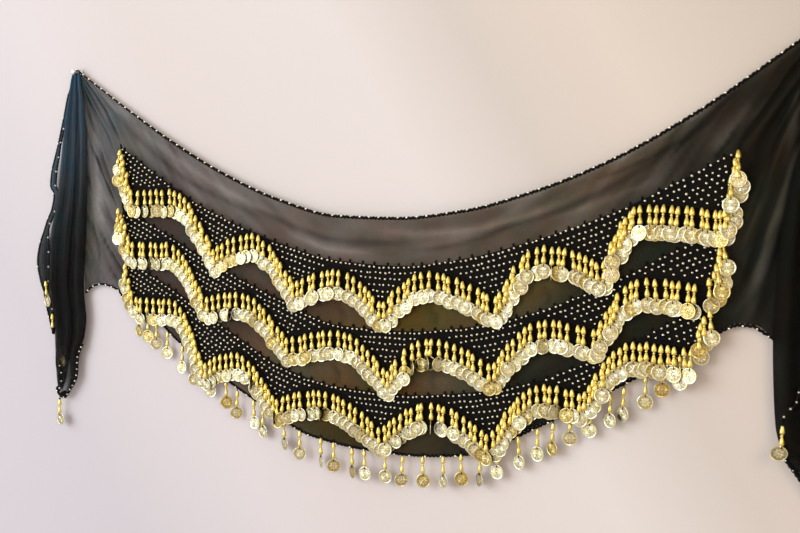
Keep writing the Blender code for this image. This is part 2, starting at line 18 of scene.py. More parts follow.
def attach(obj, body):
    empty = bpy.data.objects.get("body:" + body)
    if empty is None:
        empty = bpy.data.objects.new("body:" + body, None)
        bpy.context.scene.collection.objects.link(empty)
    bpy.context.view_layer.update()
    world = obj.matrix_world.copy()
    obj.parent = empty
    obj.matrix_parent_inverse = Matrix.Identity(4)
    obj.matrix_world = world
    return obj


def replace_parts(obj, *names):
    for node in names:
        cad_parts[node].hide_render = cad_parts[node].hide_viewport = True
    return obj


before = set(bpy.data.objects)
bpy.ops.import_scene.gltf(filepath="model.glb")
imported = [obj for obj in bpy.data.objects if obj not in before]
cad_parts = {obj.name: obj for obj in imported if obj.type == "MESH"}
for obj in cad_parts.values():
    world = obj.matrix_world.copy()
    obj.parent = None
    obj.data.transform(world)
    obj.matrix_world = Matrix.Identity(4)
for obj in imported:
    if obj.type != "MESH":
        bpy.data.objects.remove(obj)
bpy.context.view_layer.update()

scene = bpy.context.scene

# %% [markdown]
# ## Camera
# For something flat on a wall three facts set the lens: the point of the wall that it looks at, how far
# away it is, and how far it is turned. The scarf is seen from its right end, turned 28 degrees to the
# left, so the far tail looks smaller than the near end of the bands.

# %% Camera
AIM = Vector((0.593, -0.009, -0.305))
AWAY = 1.458
YAW, PITCH, ROLL = math.radians(28), math.radians(4), math.radians(-0.7)
LENS_MM, SENSOR_MM = 47.25, 36.0


def add_camera():
    ahead = Vector((-math.sin(YAW) * math.cos(PITCH), math.cos(YAW) * math.cos(PITCH), -math.sin(PITCH)))
    level = ahead.cross(Vector((0, 0, 1))).normalized()
    above = level.cross(ahead)
    right = level * math.cos(ROLL) + above * math.sin(ROLL)
    up = above * math.cos(ROLL) - level * math.sin(ROLL)
    camera = bpy.data.objects.new("camera", bpy.data.cameras.new("camera"))
    camera.data.lens = LENS_MM
    camera.data.sensor_width = SENSOR_MM
    camera.data.clip_start = 0.01
    turn = Matrix((right, up, -ahead)).transposed().to_4x4()
    camera.matrix_world = Matrix.Translation(AIM - ahead * AWAY) @ turn
    scene.collection.objects.link(camera)
    scene.camera = camera
    print("camera at", [round(value, 3) for value in camera.matrix_world.translation])


add_camera()

# %% [markdown]
# ## Node helpers
# A material in Blender is a graph of nodes. One small function that adds a node, sets its numbers and
# links its inputs keeps each material down to a few readable lines.

# %% Node helpers


def add_node(tree, kind, settings=None, **inputs):
    """Adds a node. An input is a number, a colour or another node's output, and _ stands for a space."""
    node = tree.nodes.new(kind)
    for name, value in (settings or {}).items():
        setattr(node, name, value)
    for name, value in inputs.items():
        key = int(name[1:]) if name[0] == "i" and name[1:].isdigit() else name.replace("_", " ")
        if isinstance(value, bpy.types.NodeSocket):
            tree.links.new(value, node.inputs[key])
        else:
            node.inputs[key].default_value = value
    return node


def math_node(tree, operation, first, second=0.5, third=0.5):
    """A math node's result. Only MULTIPLY_ADD, first times second plus third, reads the third value."""
    settings = {"operation": operation}
    return add_node(tree, "ShaderNodeMath", settings, i0=first, i1=second, i2=third).outputs[0]


def ramp(tree, factor, *stops):
    """Colours by a factor from 0 to 1. Each stop is a place and a colour or a grey."""
    node = add_node(tree, "ShaderNodeValToRGB", Fac=factor)
    elements = node.color_ramp.elements
    while len(elements) < len(stops):
        elements.new(0.5)
    for element, (place, shade) in zip(elements, stops):
        element.position = place
        element.color = (*shade, 1.0) if isinstance(shade, tuple) else (shade, shade, shade, 1.0)
    return node.outputs["Color"]


def mix_colour(tree, factor, first, second, blend="MIX"):
    node = add_node(tree, "ShaderNodeMix", {"data_type": "RGBA", "blend_type": blend})
    for key, value in ((0, factor), (6, first), (7, second)):
        if isinstance(value, bpy.types.NodeSocket):
            tree.links.new(value, node.inputs[key])
        else:
            node.inputs[key].default_value = (*value, 1.0) if isinstance(value, tuple) else value
    return node.outputs[2]


def new_group(name, inputs, outputs):
    """A shader node group. inputs are (name, start value) pairs, outputs are (name, socket kind) pairs."""
    group = bpy.data.node_groups.new(name, "ShaderNodeTree")
    for title, start in inputs:
        kind = "NodeSocketColor" if isinstance(start, tuple) else "NodeSocketFloat"
        socket = group.interface.new_socket(title, in_out="INPUT", socket_type=kind)
        socket.default_value = (*start, 1.0) if isinstance(start, tuple) else start
    for title, kind in outputs:
        group.interface.new_socket(title, in_out="OUTPUT", socket_type="NodeSocket" + kind)
    return group, group.nodes.new("NodeGroupInput").outputs, group.nodes.new("NodeGroupOutput").inputs


def place_group(tree, group, **inputs):
    return add_node(tree, "ShaderNodeGroup", {"node_tree": group}, **inputs).outputs


def new_material(name, **shader_numbers):
    """A material with a Principled shader, its constant numbers set on the shader itself."""
    material = bpy.data.materials.new(name)
    material.use_nodes = True
    tree = material.node_tree
    shader = tree.nodes["Principled BSDF"]
    for title, value in shader_numbers.items():
        number = (*value, 1.0) if isinstance(value, tuple) else value
        shader.inputs[title.replace("_", " ")].default_value = number
    return material, tree, shader


def bump_into(tree, shader, height, depth, strength=1.0):
    """Feeds a height, times a real depth in metres, to the shader's normal."""
    bump = add_node(tree, "ShaderNodeBump", Height=height, Distance=depth, Strength=strength)
    tree.links.new(bump.outputs["Normal"], shader.inputs["Normal"])


# %% [markdown]
# ## Effects that several finishes share
# **Cloth tint** is the slow drift of colour in dyed cloth, warm in one place and cool in the next. Large
# soft noise does that. **Stitches** are the loops of a crochet hook: rows of small bumps, each leaning the
# other way from the last, made from two crossed waves. **Worn metal** darkens stamped or plated metal in
# patches and dulls it, as handling does. Each is a group, so that every finish can use it at its own size.

# %% Cloth tint


def build_cloth_tint():
    group, given, out = new_group(
        "cloth_tint", [("Warm", (0.05, 0.04, 0.035)), ("Cool", (0.03, 0.04, 0.045)), ("Size", 30.0)],
        [("Color", "Color"), ("Thread", "Float")])
    places = add_node(group, "ShaderNodeTexCoord").outputs["Object"]
    drift = add_node(group, "ShaderNodeTexNoise", Vector=places, Scale=given["Size"], Detail=3.0).outputs[0]
    share = ramp(group, drift, (0.35, 0.0), (0.65, 1.0))
    group.links.new(mix_colour(group, share, given["Warm"], given["Cool"]), out["Color"])
    threads = add_node(group, "ShaderNodeTexNoise", Vector=places, Scale=900.0, Detail=2.0).outputs[0]
    group.links.new(threads, out["Thread"])
    return group


# %% Stitches


def build_stitches():
    group, given, out = new_group(
        "stitches", [("Pitch", 0.004), ("Raggedness", 0.6)], [("Height", "Float"), ("Gap", "Float")])
    places = add_node(group, "ShaderNodeTexCoord").outputs["Object"]
    rough = add_node(group, "ShaderNodeTexNoise", Vector=places, Scale=260.0, Detail=2.0)
    axes = add_node(group, "ShaderNodeSeparateXYZ", Vector=places).outputs
    per_metre = math_node(group, "DIVIDE", math.pi * 2, given["Pitch"])
    across = math_node(group, "MULTIPLY", axes["X"], per_metre)
    upward = math_node(group, "MULTIPLY", axes["Z"], per_metre)
    lean = math_node(group, "ADD", across, upward)
    back = math_node(group, "SUBTRACT", across, upward)
    ragged = math_node(group, "MULTIPLY", given["Raggedness"], 6.0)
    shake = math_node(group, "MULTIPLY", rough.outputs[0], ragged)
    loops = math_node(group, "MULTIPLY", math_node(group, "SINE", math_node(group, "ADD", lean, shake)),
                      math_node(group, "SINE", math_node(group, "ADD", back, shake)))
    height = math_node(group, "MULTIPLY_ADD", loops, 0.5, 0.5)
    group.links.new(height, out["Height"])
    group.links.new(ramp(group, height, (0.10, 1.0), (0.32, 0.0)), out["Gap"])
    return group


# %% Worn metal


def build_worn_metal():
    group, given, out = new_group(
        "worn_metal", [("Bright", (0.95, 0.84, 0.5)), ("Dull", (0.6, 0.42, 0.12)), ("Size", 220.0),
                       ("Smooth", 0.2), ("Rough", 0.4)],
        [("Color", "Color"), ("Roughness", "Float"), ("Scratches", "Float")])
    places = add_node(group, "ShaderNodeTexCoord").outputs["Object"]
    patches = add_node(group, "ShaderNodeTexNoise", Vector=places, Scale=given["Size"], Detail=4.0).outputs[0]
    worn = ramp(group, patches, (0.40, 0.0), (0.68, 1.0))
    group.links.new(mix_colour(group, worn, given["Bright"], given["Dull"]), out["Color"])
    spread = math_node(group, "SUBTRACT", given["Rough"], given["Smooth"])
    rough = math_node(group, "MULTIPLY_ADD", worn, spread, given["Smooth"])
    group.links.new(rough, out["Roughness"])
    fine = add_node(group, "ShaderNodeTexNoise", Vector=places, Scale=1600.0, Detail=2.0).outputs[0]
    group.links.new(fine, out["Scratches"])
    return group


cloth_tint = build_cloth_tint()
stitches = build_stitches()
worn_metal = build_worn_metal()
print("shared effects:", [group.name for group in bpy.data.node_groups])

# %% [markdown]
# ## Mesh helpers
# Most pieces here are either one sheet or hundreds of equal small parts. A sheet is a grid of places that a
# function gives. Equal parts are one pattern mesh copied with numpy to each of its placings, because a
# thousand Blender objects are slow to make and to export.

# %% Mesh helpers
MM = 0.001
Shape = namedtuple("Shape", "points faces")


def at(across, drop, out):
    """The point in metres of a place in millimetres: right of the left peg, below it, out from the wall."""
    return np.stack(np.broadcast_arrays(across, -np.asarray(out, float), -np.asarray(drop, float)), -1) * MM


def add_mesh(name, shape, *materials, smooth=True, attributes=None):
    """An object from arrays of points and faces. attributes are {name: one number for each point}."""
    mesh = bpy.data.meshes.new(name)
    faces = [list(map(int, face)) for face in shape.faces]
    mesh.from_pydata(shape.points.reshape(-1, 3).tolist(), [], faces)
    mesh.update()
    for material in materials:
        mesh.materials.append(material)
    if smooth:
        mesh.shade_smooth()
    for title, values in (attributes or {}).items():
        numbers = np.ravel(values).astype(np.float32)
        mesh.attributes.new(title, "FLOAT", "POINT").data.foreach_set("value", numbers)
    added = bpy.data.objects.new(name, mesh)
    scene.collection.objects.link(added)
    return added


def grid_faces(rows, columns, wrap=False):
    """Quads of a grid of points kept row by row. With wrap the last column joins the first."""
    across = np.arange(columns if wrap else columns - 1)
    row, column = np.meshgrid(np.arange(rows - 1), across, indexing="ij")
    here, below, beside = row * columns, (row + 1) * columns, (column + 1) % columns
    return np.stack((here + column, below + column, below + beside, here + beside), -1).reshape(-1, 4)


def turned(profile, sides):
    """A shape turned on the upright axis from (radius, height) pairs, with its two ends closed."""
    angles = np.arange(sides) * 2 * np.pi / sides
    radius, height = np.array(profile, float).T
    points = np.stack([np.outer(radius, np.cos(angles)), np.outer(radius, np.sin(angles)),
                       np.outer(height, np.ones(sides))], -1).reshape(-1, 3)
    faces = [list(face) for face in grid_faces(len(profile), sides, wrap=True)]
    faces += [list(range(sides)), list(range((len(profile) - 1) * sides, len(profile) * sides))[::-1]]
    return Shape(points * MM, faces)


# %% Many copies of one small part


def copies(shape, placings):
    """One shape that holds the given one at each placing, a 4x4 matrix."""
    placings, pattern = np.asarray(placings, float), shape.points.reshape(-1, 3)
    points = np.einsum("nij,pj->npi", placings[:, :3, :3], pattern) + placings[:, None, :3, 3]
    faces = [[corner + step * len(pattern) for corner in face]
             for step in range(len(placings)) for face in shape.faces]
    return Shape(points.reshape(-1, 3), faces)


def joined(*shapes):
    points, faces, before = [], [], 0
    for shape in shapes:
        flat = shape.points.reshape(-1, 3)
        points.append(flat)
        faces += [[corner + before for corner in face] for face in shape.faces]
        before += len(flat)
    return Shape(np.concatenate(points), faces)


def placing(point, yaw=0.0, lean=0.0, swing=0.0, size=1.0):
    """Where a small part goes: a point in metres, and angles in degrees: turned on its own upright axis,
    its foot leaning out from the wall, and swung to the side."""
    turn = (Matrix.Rotation(math.radians(swing), 4, "Y") @ Matrix.Rotation(math.radians(-lean), 4, "X")
            @ Matrix.Rotation(math.radians(yaw), 4, "Z"))
    return np.array(Matrix.Translation(Vector(point)) @ turn @ Matrix.Scale(size, 4))


def wave(place, *terms):
    """An uneven smooth line: a sum of sines, each a (length, height, start) term."""
    place = np.asarray(place, float)
    return sum(height * np.sin(2 * np.pi * place / length + start) for length, height, start in terms)


# %% What every piece says to the frame


def settle(piece, slot_name, *nodes):
    """The piece rides on the root body and stands for its CAD nodes. slot_name, a finish's slot, is not used.
    """
    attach(piece, "root")
    if nodes:
        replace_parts(piece, *nodes)
    return piece


# %% [markdown]
# ## The scarf's lines
# A pattern cutter draws the hems and the bands first, and everything else is set off from them. These
# tables are the part's own, in millimetres: across from the left peg, and drop below it. A smooth line
# runs through each, and the wave under a row of coins is pointed in its troughs and round on its crests.

# %% The scarf's lines
PEG_SPAN, BAND_LEFT, BAND_RIGHT = 1168, 90, 1046
DROP_HEIGHT, COIN_R, SPINDLE = 43.5, 10.0, 25.4
BAND_NAMES = ("upper", "middle", "lower")
HANG, BULGE = 7.7, 4.0        # from the wall to the chiffon's front at the pegs, and how much more halfway
SEAM, BAND_THICK = 0.3, 1.8   # the gap between neighbouring pieces, and a band's thickness
FOLD_FADE = 120               # the pleats die out over this stretch of the embroidery
FOLD_LEFT = 0.2               # share of the folds that reaches the embroidery
FOLD_HIGH = 3.0               # how far the highest pleat stands out
DROP_REACH = 3.4              # from the seam in front of a band to the middle of a drop
STEPS = 300                   # points along a line that is drawn finely

TOP_HEM = np.array(((0, 0), (93, 60), (193, 121), (293, 173), (393, 213), (493, 237), (593, 240),
                    (693, 230), (793, 205), (893, 168), (993, 116), (1093, 52), (1168, 0)), float)
BOTTOM_HEM = np.array(((76, 353), (100, 383), (129, 396), (156, 401), (200, 431), (293, 485), (363, 520),
                       (443, 555), (533, 566), (593, 567), (693, 557), (793, 510), (893, 453), (943, 424),
                       (991, 398), (1012, 389), (1025, 373), (1050, 361)), float)
LEFT_ARCH = np.array(((76, 353), (62, 348), (47, 344.5), (33, 344), (19, 347.5), (9, 352.5), (1, 360)), float)
RIGHT_ARCH = np.array(((1067, 364), (1087, 377), (1112, 384), (1140, 380)), float)
BAND_TOPS = np.array((  # across, then the upper edge of each band
    (90, 123, 222, 303), (143, 157, 246, 327), (193, 188, 269, 351), (253, 220, 300, 385),
    (323, 250, 330, 423), (393, 274, 357, 458), (493, 298, 391, 481), (593, 304, 395, 484),
    (693, 292, 385, 474), (793, 266, 360, 451), (893, 232, 318, 406), (993, 185, 268, 353),
    (1046, 157, 248, 330)), float)
COIN_TURNS = {  # the lower rims of each row's coins
    "upper": ((90, 236), (195, 236), (276, 328), (345, 303), (421, 376), (493, 353), (568, 401), (645, 353),
              (738, 386), (810, 315), (885, 338), (932, 264), (1040, 273)),
    "middle": ((90, 318), (183, 318), (256, 401), (323, 392), (406, 457), (493, 441), (575, 495), (643, 444),
               (734, 475), (808, 411), (876, 422), (936, 354), (1024, 363)),
    "lower": ((96, 407), (187, 407), (251, 506), (313, 484), (385, 550), (463, 530), (564, 576), (643, 533),
              (730, 569), (808, 496), (860, 503), (925, 434), (1007, 438)),
}
ROW_SPANS = {"upper": (112, 1034), "middle": (111, 1006), "lower": (113, 998)}


# %% Smooth lines through the tables


def smooth_line(knots, places):
    """A smooth line through (place, value) knots that never swings past a knot between two."""
    x, y = np.asarray(knots, float).T
    places = np.asarray(places, float)
    slope = np.diff(y) / np.diff(x)
    product, total = slope[:-1] * slope[1:], slope[:-1] + slope[1:] + 1e-12
    inner = np.where(product > 0, 2 * slope[:-1] * slope[1:] / total, 0.0)
    at_knot = np.concatenate([slope[:1], inner, slope[-1:]])
    k = np.clip(np.searchsorted(x, places, side="right") - 1, 0, len(x) - 2)
    wide = x[k + 1] - x[k]
    t = (places - x[k]) / wide
    return (y[k] * (2 * t**3 - 3 * t**2 + 1) + y[k + 1] * (3 * t**2 - 2 * t**3)
            + wide * at_knot[k] * (t**3 - 2 * t**2 + t) + wide * at_knot[k + 1] * (t**3 - t**2))


def coin_line(row, places):
    """Drop of the coins' lower rims along a row."""
    x, y = np.array(COIN_TURNS[row], float).T
    places = np.asarray(places, float)
    k = np.clip(np.searchsorted(x, places, side="right") - 1, 0, len(x) - 2)
    t = (places - x[k]) / (x[k + 1] - x[k])
    falls = y[k + 1] > y[k]
    low, high = np.maximum(y[k], y[k + 1]), np.minimum(y[k], y[k + 1])
    return low + (high - low) * np.sin(np.pi / 2 * np.clip(np.where(falls, 1 - t, t), 0, 1))


def band_top(row, places):
    return smooth_line(BAND_TOPS[:, (0, 1 + BAND_NAMES.index(row))], places)


def cloth_front(across):
    """How far out the front of the chiffon hangs, folds left out."""
    return HANG + BULGE * np.sin(np.pi * np.clip(np.asarray(across, float) / PEG_SPAN, 0, 1))


def band_front(across):
    """How far out the front of a crochet band lies, over what is left of the pleats."""
    across = np.asarray(across, float)
    inside = np.minimum(across - BAND_LEFT, BAND_RIGHT - across)
    folded = FOLD_HIGH * FOLD_LEFT * np.clip(1 - inside / FOLD_FADE, 0, 1)
    return cloth_front(across) + folded + SEAM + BAND_THICK


def drop_out(across):
    """How far out the middle of a drop hangs in front of a band."""
    return band_front(across) + SEAM + DROP_REACH


def walk(places, drops, pitch):
    """Steps along a line, as arrays of across and drop. pitch is one number, or one for each place."""
    each = np.broadcast_to(pitch, places.shape)
    run = np.concatenate([[0], np.cumsum(np.hypot(np.diff(places), np.diff(drops)) / each[1:])])
    count = int(round(run[-1]))
    steps = (np.arange(count) + 0.5) * run[-1] / count
    return np.interp(steps, run, places), np.interp(steps, run, drops)


hem_places = np.linspace(BAND_LEFT, BAND_RIGHT, STEPS)
hem_length = np.hypot(np.diff(hem_places), np.diff(smooth_line(TOP_HEM, hem_places))).sum()
print("upper hem over the bands in mm:", round(float(hem_length)))

# %% [markdown]
# ## Wall, floor and light
# The scarf hangs on a plain painted wall, so the wall is the backdrop, and it lies just behind the pegs'
# feet. Seen from behind, its back face is see-through. Three soft lamps do the rest: a large cool one from
# the left gives the coins their pale glare, a warm one from the right and a dim yellow one in front make
# the far coins yellow, and the world fills the shadows.

# %% Wall paint
# The wall's paint colour with painted light on it: lighter and darker where the lamps fall on the wall
# unevenly.
WALL_PAINT_AND_LIGHT = (   # from the far left of the wall to its right
    (0.0, (0.635, 0.61, 0.66)), (0.18, (0.735, 0.69, 0.72)), (0.31, (0.735, 0.68, 0.68)),
    (0.5, (0.775, 0.735, 0.735)), (0.6, (0.675, 0.615, 0.585)), (0.7, (0.74, 0.665, 0.61)),
    (0.85, (0.60, 0.535, 0.48)), (0.95, (0.585, 0.52, 0.462)))


def build_paint():
    """Matt wall paint. The roller's grain is a fine bump, and the colour warms a little to one side. It also
    holds painted light: lighter and darker across the wall and down it, where the lamps fall on it unevenly.
    """
    material, tree, shader = new_material("wall_paint", Roughness=0.9, Specular_IOR_Level=0.15)
    places = add_node(tree, "ShaderNodeTexCoord").outputs["Object"]
    grain = add_node(tree, "ShaderNodeTexNoise", Vector=places, Scale=240.0, Detail=4.0).outputs[0]
    axes = add_node(tree, "ShaderNodeSeparateXYZ", Vector=places).outputs
    side = math_node(tree, "MULTIPLY", math_node(tree, "ADD", axes["X"], 0.4), 0.55)
    low = math_node(tree, "MULTIPLY", axes["Z"], 0.35)
    # painted light on the wall, by place across it and down it
    warm = ramp(tree, math_node(tree, "ADD", side, low), *WALL_PAINT_AND_LIGHT)
    tree.links.new(warm, shader.inputs["Base Color"])
    bump_into(tree, shader, grain, 0.0004, 0.25)
    clear = add_node(tree, "ShaderNodeBsdfTransparent")
    sides = add_node(tree, "ShaderNodeNewGeometry").outputs["Backfacing"]
    mixed = add_node(tree, "ShaderNodeMixShader", i0=sides, i1=shader.outputs[0], i2=clear.outputs[0])
    tree.links.new(mixed.outputs[0], tree.nodes["Material Output"].inputs["Surface"])
    return material


def add_plane(name, corners, material):
    add_mesh(name, Shape(np.array(corners, float), [[0, 1, 2, 3]]), material, smooth=False)


# %% Lamps and world


def add_lamp(name, place, target, size, energy, colour):
    light = bpy.data.lights.new(name, "AREA")
    light.energy = energy
    light.color = colour
    light.shape = "RECTANGLE"
    light.size, light.size_y = size
    lamp = bpy.data.objects.new(name, light)
    lamp.location = place
    lamp.rotation_euler = (Vector(target) - Vector(place)).to_track_quat("-Z", "Y").to_euler()
    scene.collection.objects.link(lamp)


def build_world(colour, strength):
    world = bpy.data.worlds.new("soft_studio")
    world.use_nodes = True
    ground = world.node_tree.nodes["Background"]
    ground.inputs["Color"].default_value = (*colour, 1.0)
    ground.inputs["Strength"].default_value = strength
    scene.world = world


# %% The stage
WALL_Y, FLOOR_Z, WALL_TOP = 0.0003, -1.25, 1.3
FAR_LEFT, FAR_RIGHT, FLOOR_FRONT = -1.6, 2.8, -2.6
paint = build_paint()
add_plane("wall", [(FAR_LEFT, WALL_Y, FLOOR_Z), (FAR_RIGHT, WALL_Y, FLOOR_Z),
                   (FAR_RIGHT, WALL_Y, WALL_TOP), (FAR_LEFT, WALL_Y, WALL_TOP)], paint)
add_plane("floor", [(FAR_LEFT, WALL_Y, FLOOR_Z), (FAR_LEFT, FLOOR_FRONT, FLOOR_Z),
                    (FAR_RIGHT, FLOOR_FRONT, FLOOR_Z), (FAR_RIGHT, WALL_Y, FLOOR_Z)], paint)
add_lamp("window_light", (-2.1, -3.3, 0.7), (0.45, 0, -0.3), (3.8, 3.1), 121, (0.925, 1.01, 1.085))
add_lamp("warm_room_light", (2.6, -2.0, 0.4), (0.8, 0, -0.3), (0.9, 0.9), 11, (1.0, 0.80, 0.55))
add_lamp("yellow_room_light", (0.5, -3.7, -0.3), (0.8, 0, -0.3), (2.4, 1.5), 3, (1.0, 0.85, 0.5))
build_world((1.0, 0.87, 0.73), 0.61)
scene.view_settings.view_transform = "Standard"
added = [item.name for item in scene.objects if item.type in {"MESH", "LIGHT"}]
print("stage:", [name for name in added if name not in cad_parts])

# %% [markdown]
# ## Chiffon
# Chiffon is a plain weave of very fine, hard-twisted threads with gaps between them, so the wall shows
# through one layer and hardly at all through three. The finish is therefore mostly a matter of cover, the
# share of light that the threads stop. Each of the shell's two faces stops a good third of it in the body
# and half in the tails. The cloth covers more where a crease gathers it, which the mesh says in an
# attribute named `gather`, and threads that lie thicker or thinner make a fine uneven grain. The same
# attribute also carries painted shade and light: more cover to the right and under the upper band, less
# along some ridges. A second attribute darkens the bottoms of folds: painted shade.

# %% Chiffon finish


def build_chiffon(name, cover, sheen, fall, dye_light_stops, lower_light=()):
    """Sheer cloth. Its colour stops are (place, colour) pairs: the dye with painted light and reflection,
    cool and lighter towards the window and higher up. A place is the share of the way from the left tail to
    the right one, and fall adds to it for every metre of drop. lower_light stops are painted light that tints
    the cloth by its drop, with 0.3 m added for every metre to the right."""
    material, tree, shader = new_material(name, Roughness=0.72, Specular_IOR_Level=0.1, Sheen_Weight=sheen,
                                          Sheen_Roughness=0.4, Sheen_Tint=(0.75, 0.8, 1.0))
    tint = place_group(tree, cloth_tint, Warm=(1.0, 0.78, 0.72, 1.0), Cool=(0.62, 0.86, 0.90, 1.0), Size=22.0)
    places = add_node(tree, "ShaderNodeTexCoord").outputs["Object"]
    axes = add_node(tree, "ShaderNodeSeparateXYZ", Vector=places).outputs
    from_left = math_node(tree, "DIVIDE", math_node(tree, "ADD", axes["X"], 0.1), 1.4)
    lower = math_node(tree, "MULTIPLY", axes["Z"], -fall)
    # painted light: the colour ramp holds the window's light and reflection as well as the dye
    dye_and_light = ramp(tree, math_node(tree, "ADD", from_left, lower), *dye_light_stops)
    if lower_light:
        rightward = math_node(tree, "MULTIPLY", axes["X"], 0.3)
        light = ramp(tree, math_node(tree, "SUBTRACT", rightward, axes["Z"]), *lower_light)
        dye_and_light = mix_colour(tree, 1.0, dye_and_light, light, "MULTIPLY")
    fold_shade = add_node(tree, "ShaderNodeAttribute", {"attribute_name": "fold_shade"}).outputs["Fac"]
    # painted shade, darker in the bottoms of folds
    lit = ramp(tree, fold_shade, (0.12, 1.0), (0.5, 0.62), (0.88, 0.24))
    shade = mix_colour(tree, 1.0, mix_colour(tree, 1.0, dye_and_light, tint["Color"], "MULTIPLY"), lit, "MULTIPLY")
    tree.links.new(shade, shader.inputs["Base Color"])
    gather = add_node(tree, "ShaderNodeAttribute", {"attribute_name": "gather"}).outputs["Fac"]
    slubs = add_node(tree, "ShaderNodeTexNoise", Vector=places, Scale=19.0, Detail=6.0).outputs[0]
    thick = math_node(tree, "MULTIPLY", math_node(tree, "SUBTRACT", slubs, 0.5), 0.30)
    grain = math_node(tree, "MULTIPLY", math_node(tree, "SUBTRACT", tint["Thread"], 0.5), 0.2)
    uneven = math_node(tree, "ADD", thick, grain)
    pressed = math_node(tree, "MULTIPLY", gather, 0.42)
    alpha = add_node(tree, "ShaderNodeMath", {"operation": "ADD", "use_clamp": True},
                     i0=math_node(tree, "ADD", uneven, cover), i1=pressed).outputs[0]
    tree.links.new(alpha, shader.inputs["Alpha"])
    bump_into(tree, shader, tint["Thread"], 0.0002, 0.5)
    return material


# %% [markdown]
# ## Dye and painted light
# Thin black cloth takes the colour of what shines through it and on it: cool on the side of the window,
# brown and then nearly black towards the other. Stops along the scarf paint that light and reflection into
# the cloth's dye colour. Some light from the room also falls between the bands. A lamp for it would light
# the coins there too, so a second set of stops paints that light into the dye itself.

# %% Dye and painted light
BODY_COVER, TAIL_COVER = 0.37, 0.50   # share of the light that one face stops, before creases and grain
# the dye with painted light and reflection, cool and lighter at the window's side, from left to right
BODY_DYE_AND_LIGHT = (
    (0.07, (0.100, 0.165, 0.210)), (0.17, (0.095, 0.128, 0.148)), (0.215, (0.094, 0.102, 0.070)),
    (0.28, (0.090, 0.076, 0.070)), (0.53, (0.140, 0.083, 0.047)), (0.70, (0.100, 0.056, 0.006)),
    (0.80, (0.108, 0.070, 0.020)), (0.84, (0.034, 0.025, 0.008)), (0.88, (0.020, 0.016, 0.007)),
    (0.95, (0.019, 0.0155, 0.007)), (1.0, (0.013, 0.012, 0.006)))
LOWER_LIGHT = (   # times the dye, by drop, where the room lights the stretches between the bands
    (0.50, (1.0, 1.0, 1.0)), (0.554, (1.85, 2.2, 2.4)), (0.605, (1.5, 2.0, 2.9)), (0.655, (1.6, 1.6, 1.45)),
    (0.70, (0.84, 1.14, 1.9)), (0.748, (0.72, 0.88, 1.3)), (0.80, (1.0, 1.0, 1.0)))
TAIL_DYE_AND_LIGHT = (
    (0.05, (0.060, 0.125, 0.215)), (0.17, (0.076, 0.135, 0.200)), (0.23, (0.055, 0.080, 0.100)),
    (0.28, (0.026, 0.034, 0.037)), (0.34, (0.015, 0.014, 0.014)), (0.7, (0.013, 0.012, 0.009)),
    (1.0, (0.010, 0.0095, 0.006)))
chiffon = build_chiffon("black_chiffon", BODY_COVER, 0.04, 0.5, BODY_DYE_AND_LIGHT, LOWER_LIGHT)
gathered = build_chiffon("gathered_chiffon", TAIL_COVER, 0.02, 0.9, TAIL_DYE_AND_LIGHT)
print("share of light that one face stops:", BODY_COVER, "in the body and", TAIL_COVER, "in the tails")

# %% [markdown]
# ## Creases
# Where a peg holds the cloth's corner, its weight pulls sharp narrow creases from there towards the
# stiffer embroidery. Each one is a line of points with its own width and depth. The cloth dips along the
# line, rises a little on one side, and dies out at the ends. Their lengths and spacing are uneven.

# %% Creases
Crease = namedtuple("Crease", "line width depth gather")
# A crease with a gather below nought takes cover away, so its ridge shows lighter: a painted streak of light.
LEFT_CREASES = (
    Crease(((2, 2), (14, 11), (58, 65), (91, 122)), 3.6, -2.6, 0.75),
    Crease(((6, 10), (22, 46), (60, 102), (80, 140)), 3.0, -2.2, 0.55),
    Crease(((4, 12), (16, 46), (30, 91), (54, 153), (76, 205)), 2.8, -2.4, 0.6),
    Crease(((14, 78), (26, 120), (44, 165), (65, 200), (84, 232)), 3.2, -3.0, 0.85),
    Crease(((3, 3), (38, 30), (80, 62), (110, 84)), 6.0, 1.8, 0.0),
    Crease(((30, 20), (70, 62), (98, 92)), 4.0, -1.4, 0.25),
    Crease(((6, 14), (14, 38), (21, 78), (25, 127), (29, 184), (29, 241), (34, 298)), 7.5, 2.6, 0.0),
    Crease(((38, 260), (55, 287), (83, 324), (92, 338)), 3.4, -2.4, 0.65),
    Crease(((22, 238), (26, 258), (34, 290), (36, 316)), 3.8, -1.8, 0.35),
    Crease(((44, 205), (58, 236), (80, 262)), 4.6, -1.6, 0.3),
    Crease(((50, 312), (66, 330), (76, 344)), 3.0, -1.6, 0.35),
    Crease(((28, 170), (40, 214), (44, 262)), 6.5, 1.6, 0.0),
    Crease(((62, 268), (80, 290), (92, 298)), 5.0, 1.5, 0.0),
    Crease(((16, 300), (30, 322), (34, 338)), 3.2, -1.2, 0.3),
    Crease(((7, 30), (13, 60), (21, 79), (26, 103), (29.5, 127), (30.6, 152), (31.4, 184), (34, 217),
            (36, 250)), 5.2, 1.6, -0.36),
)
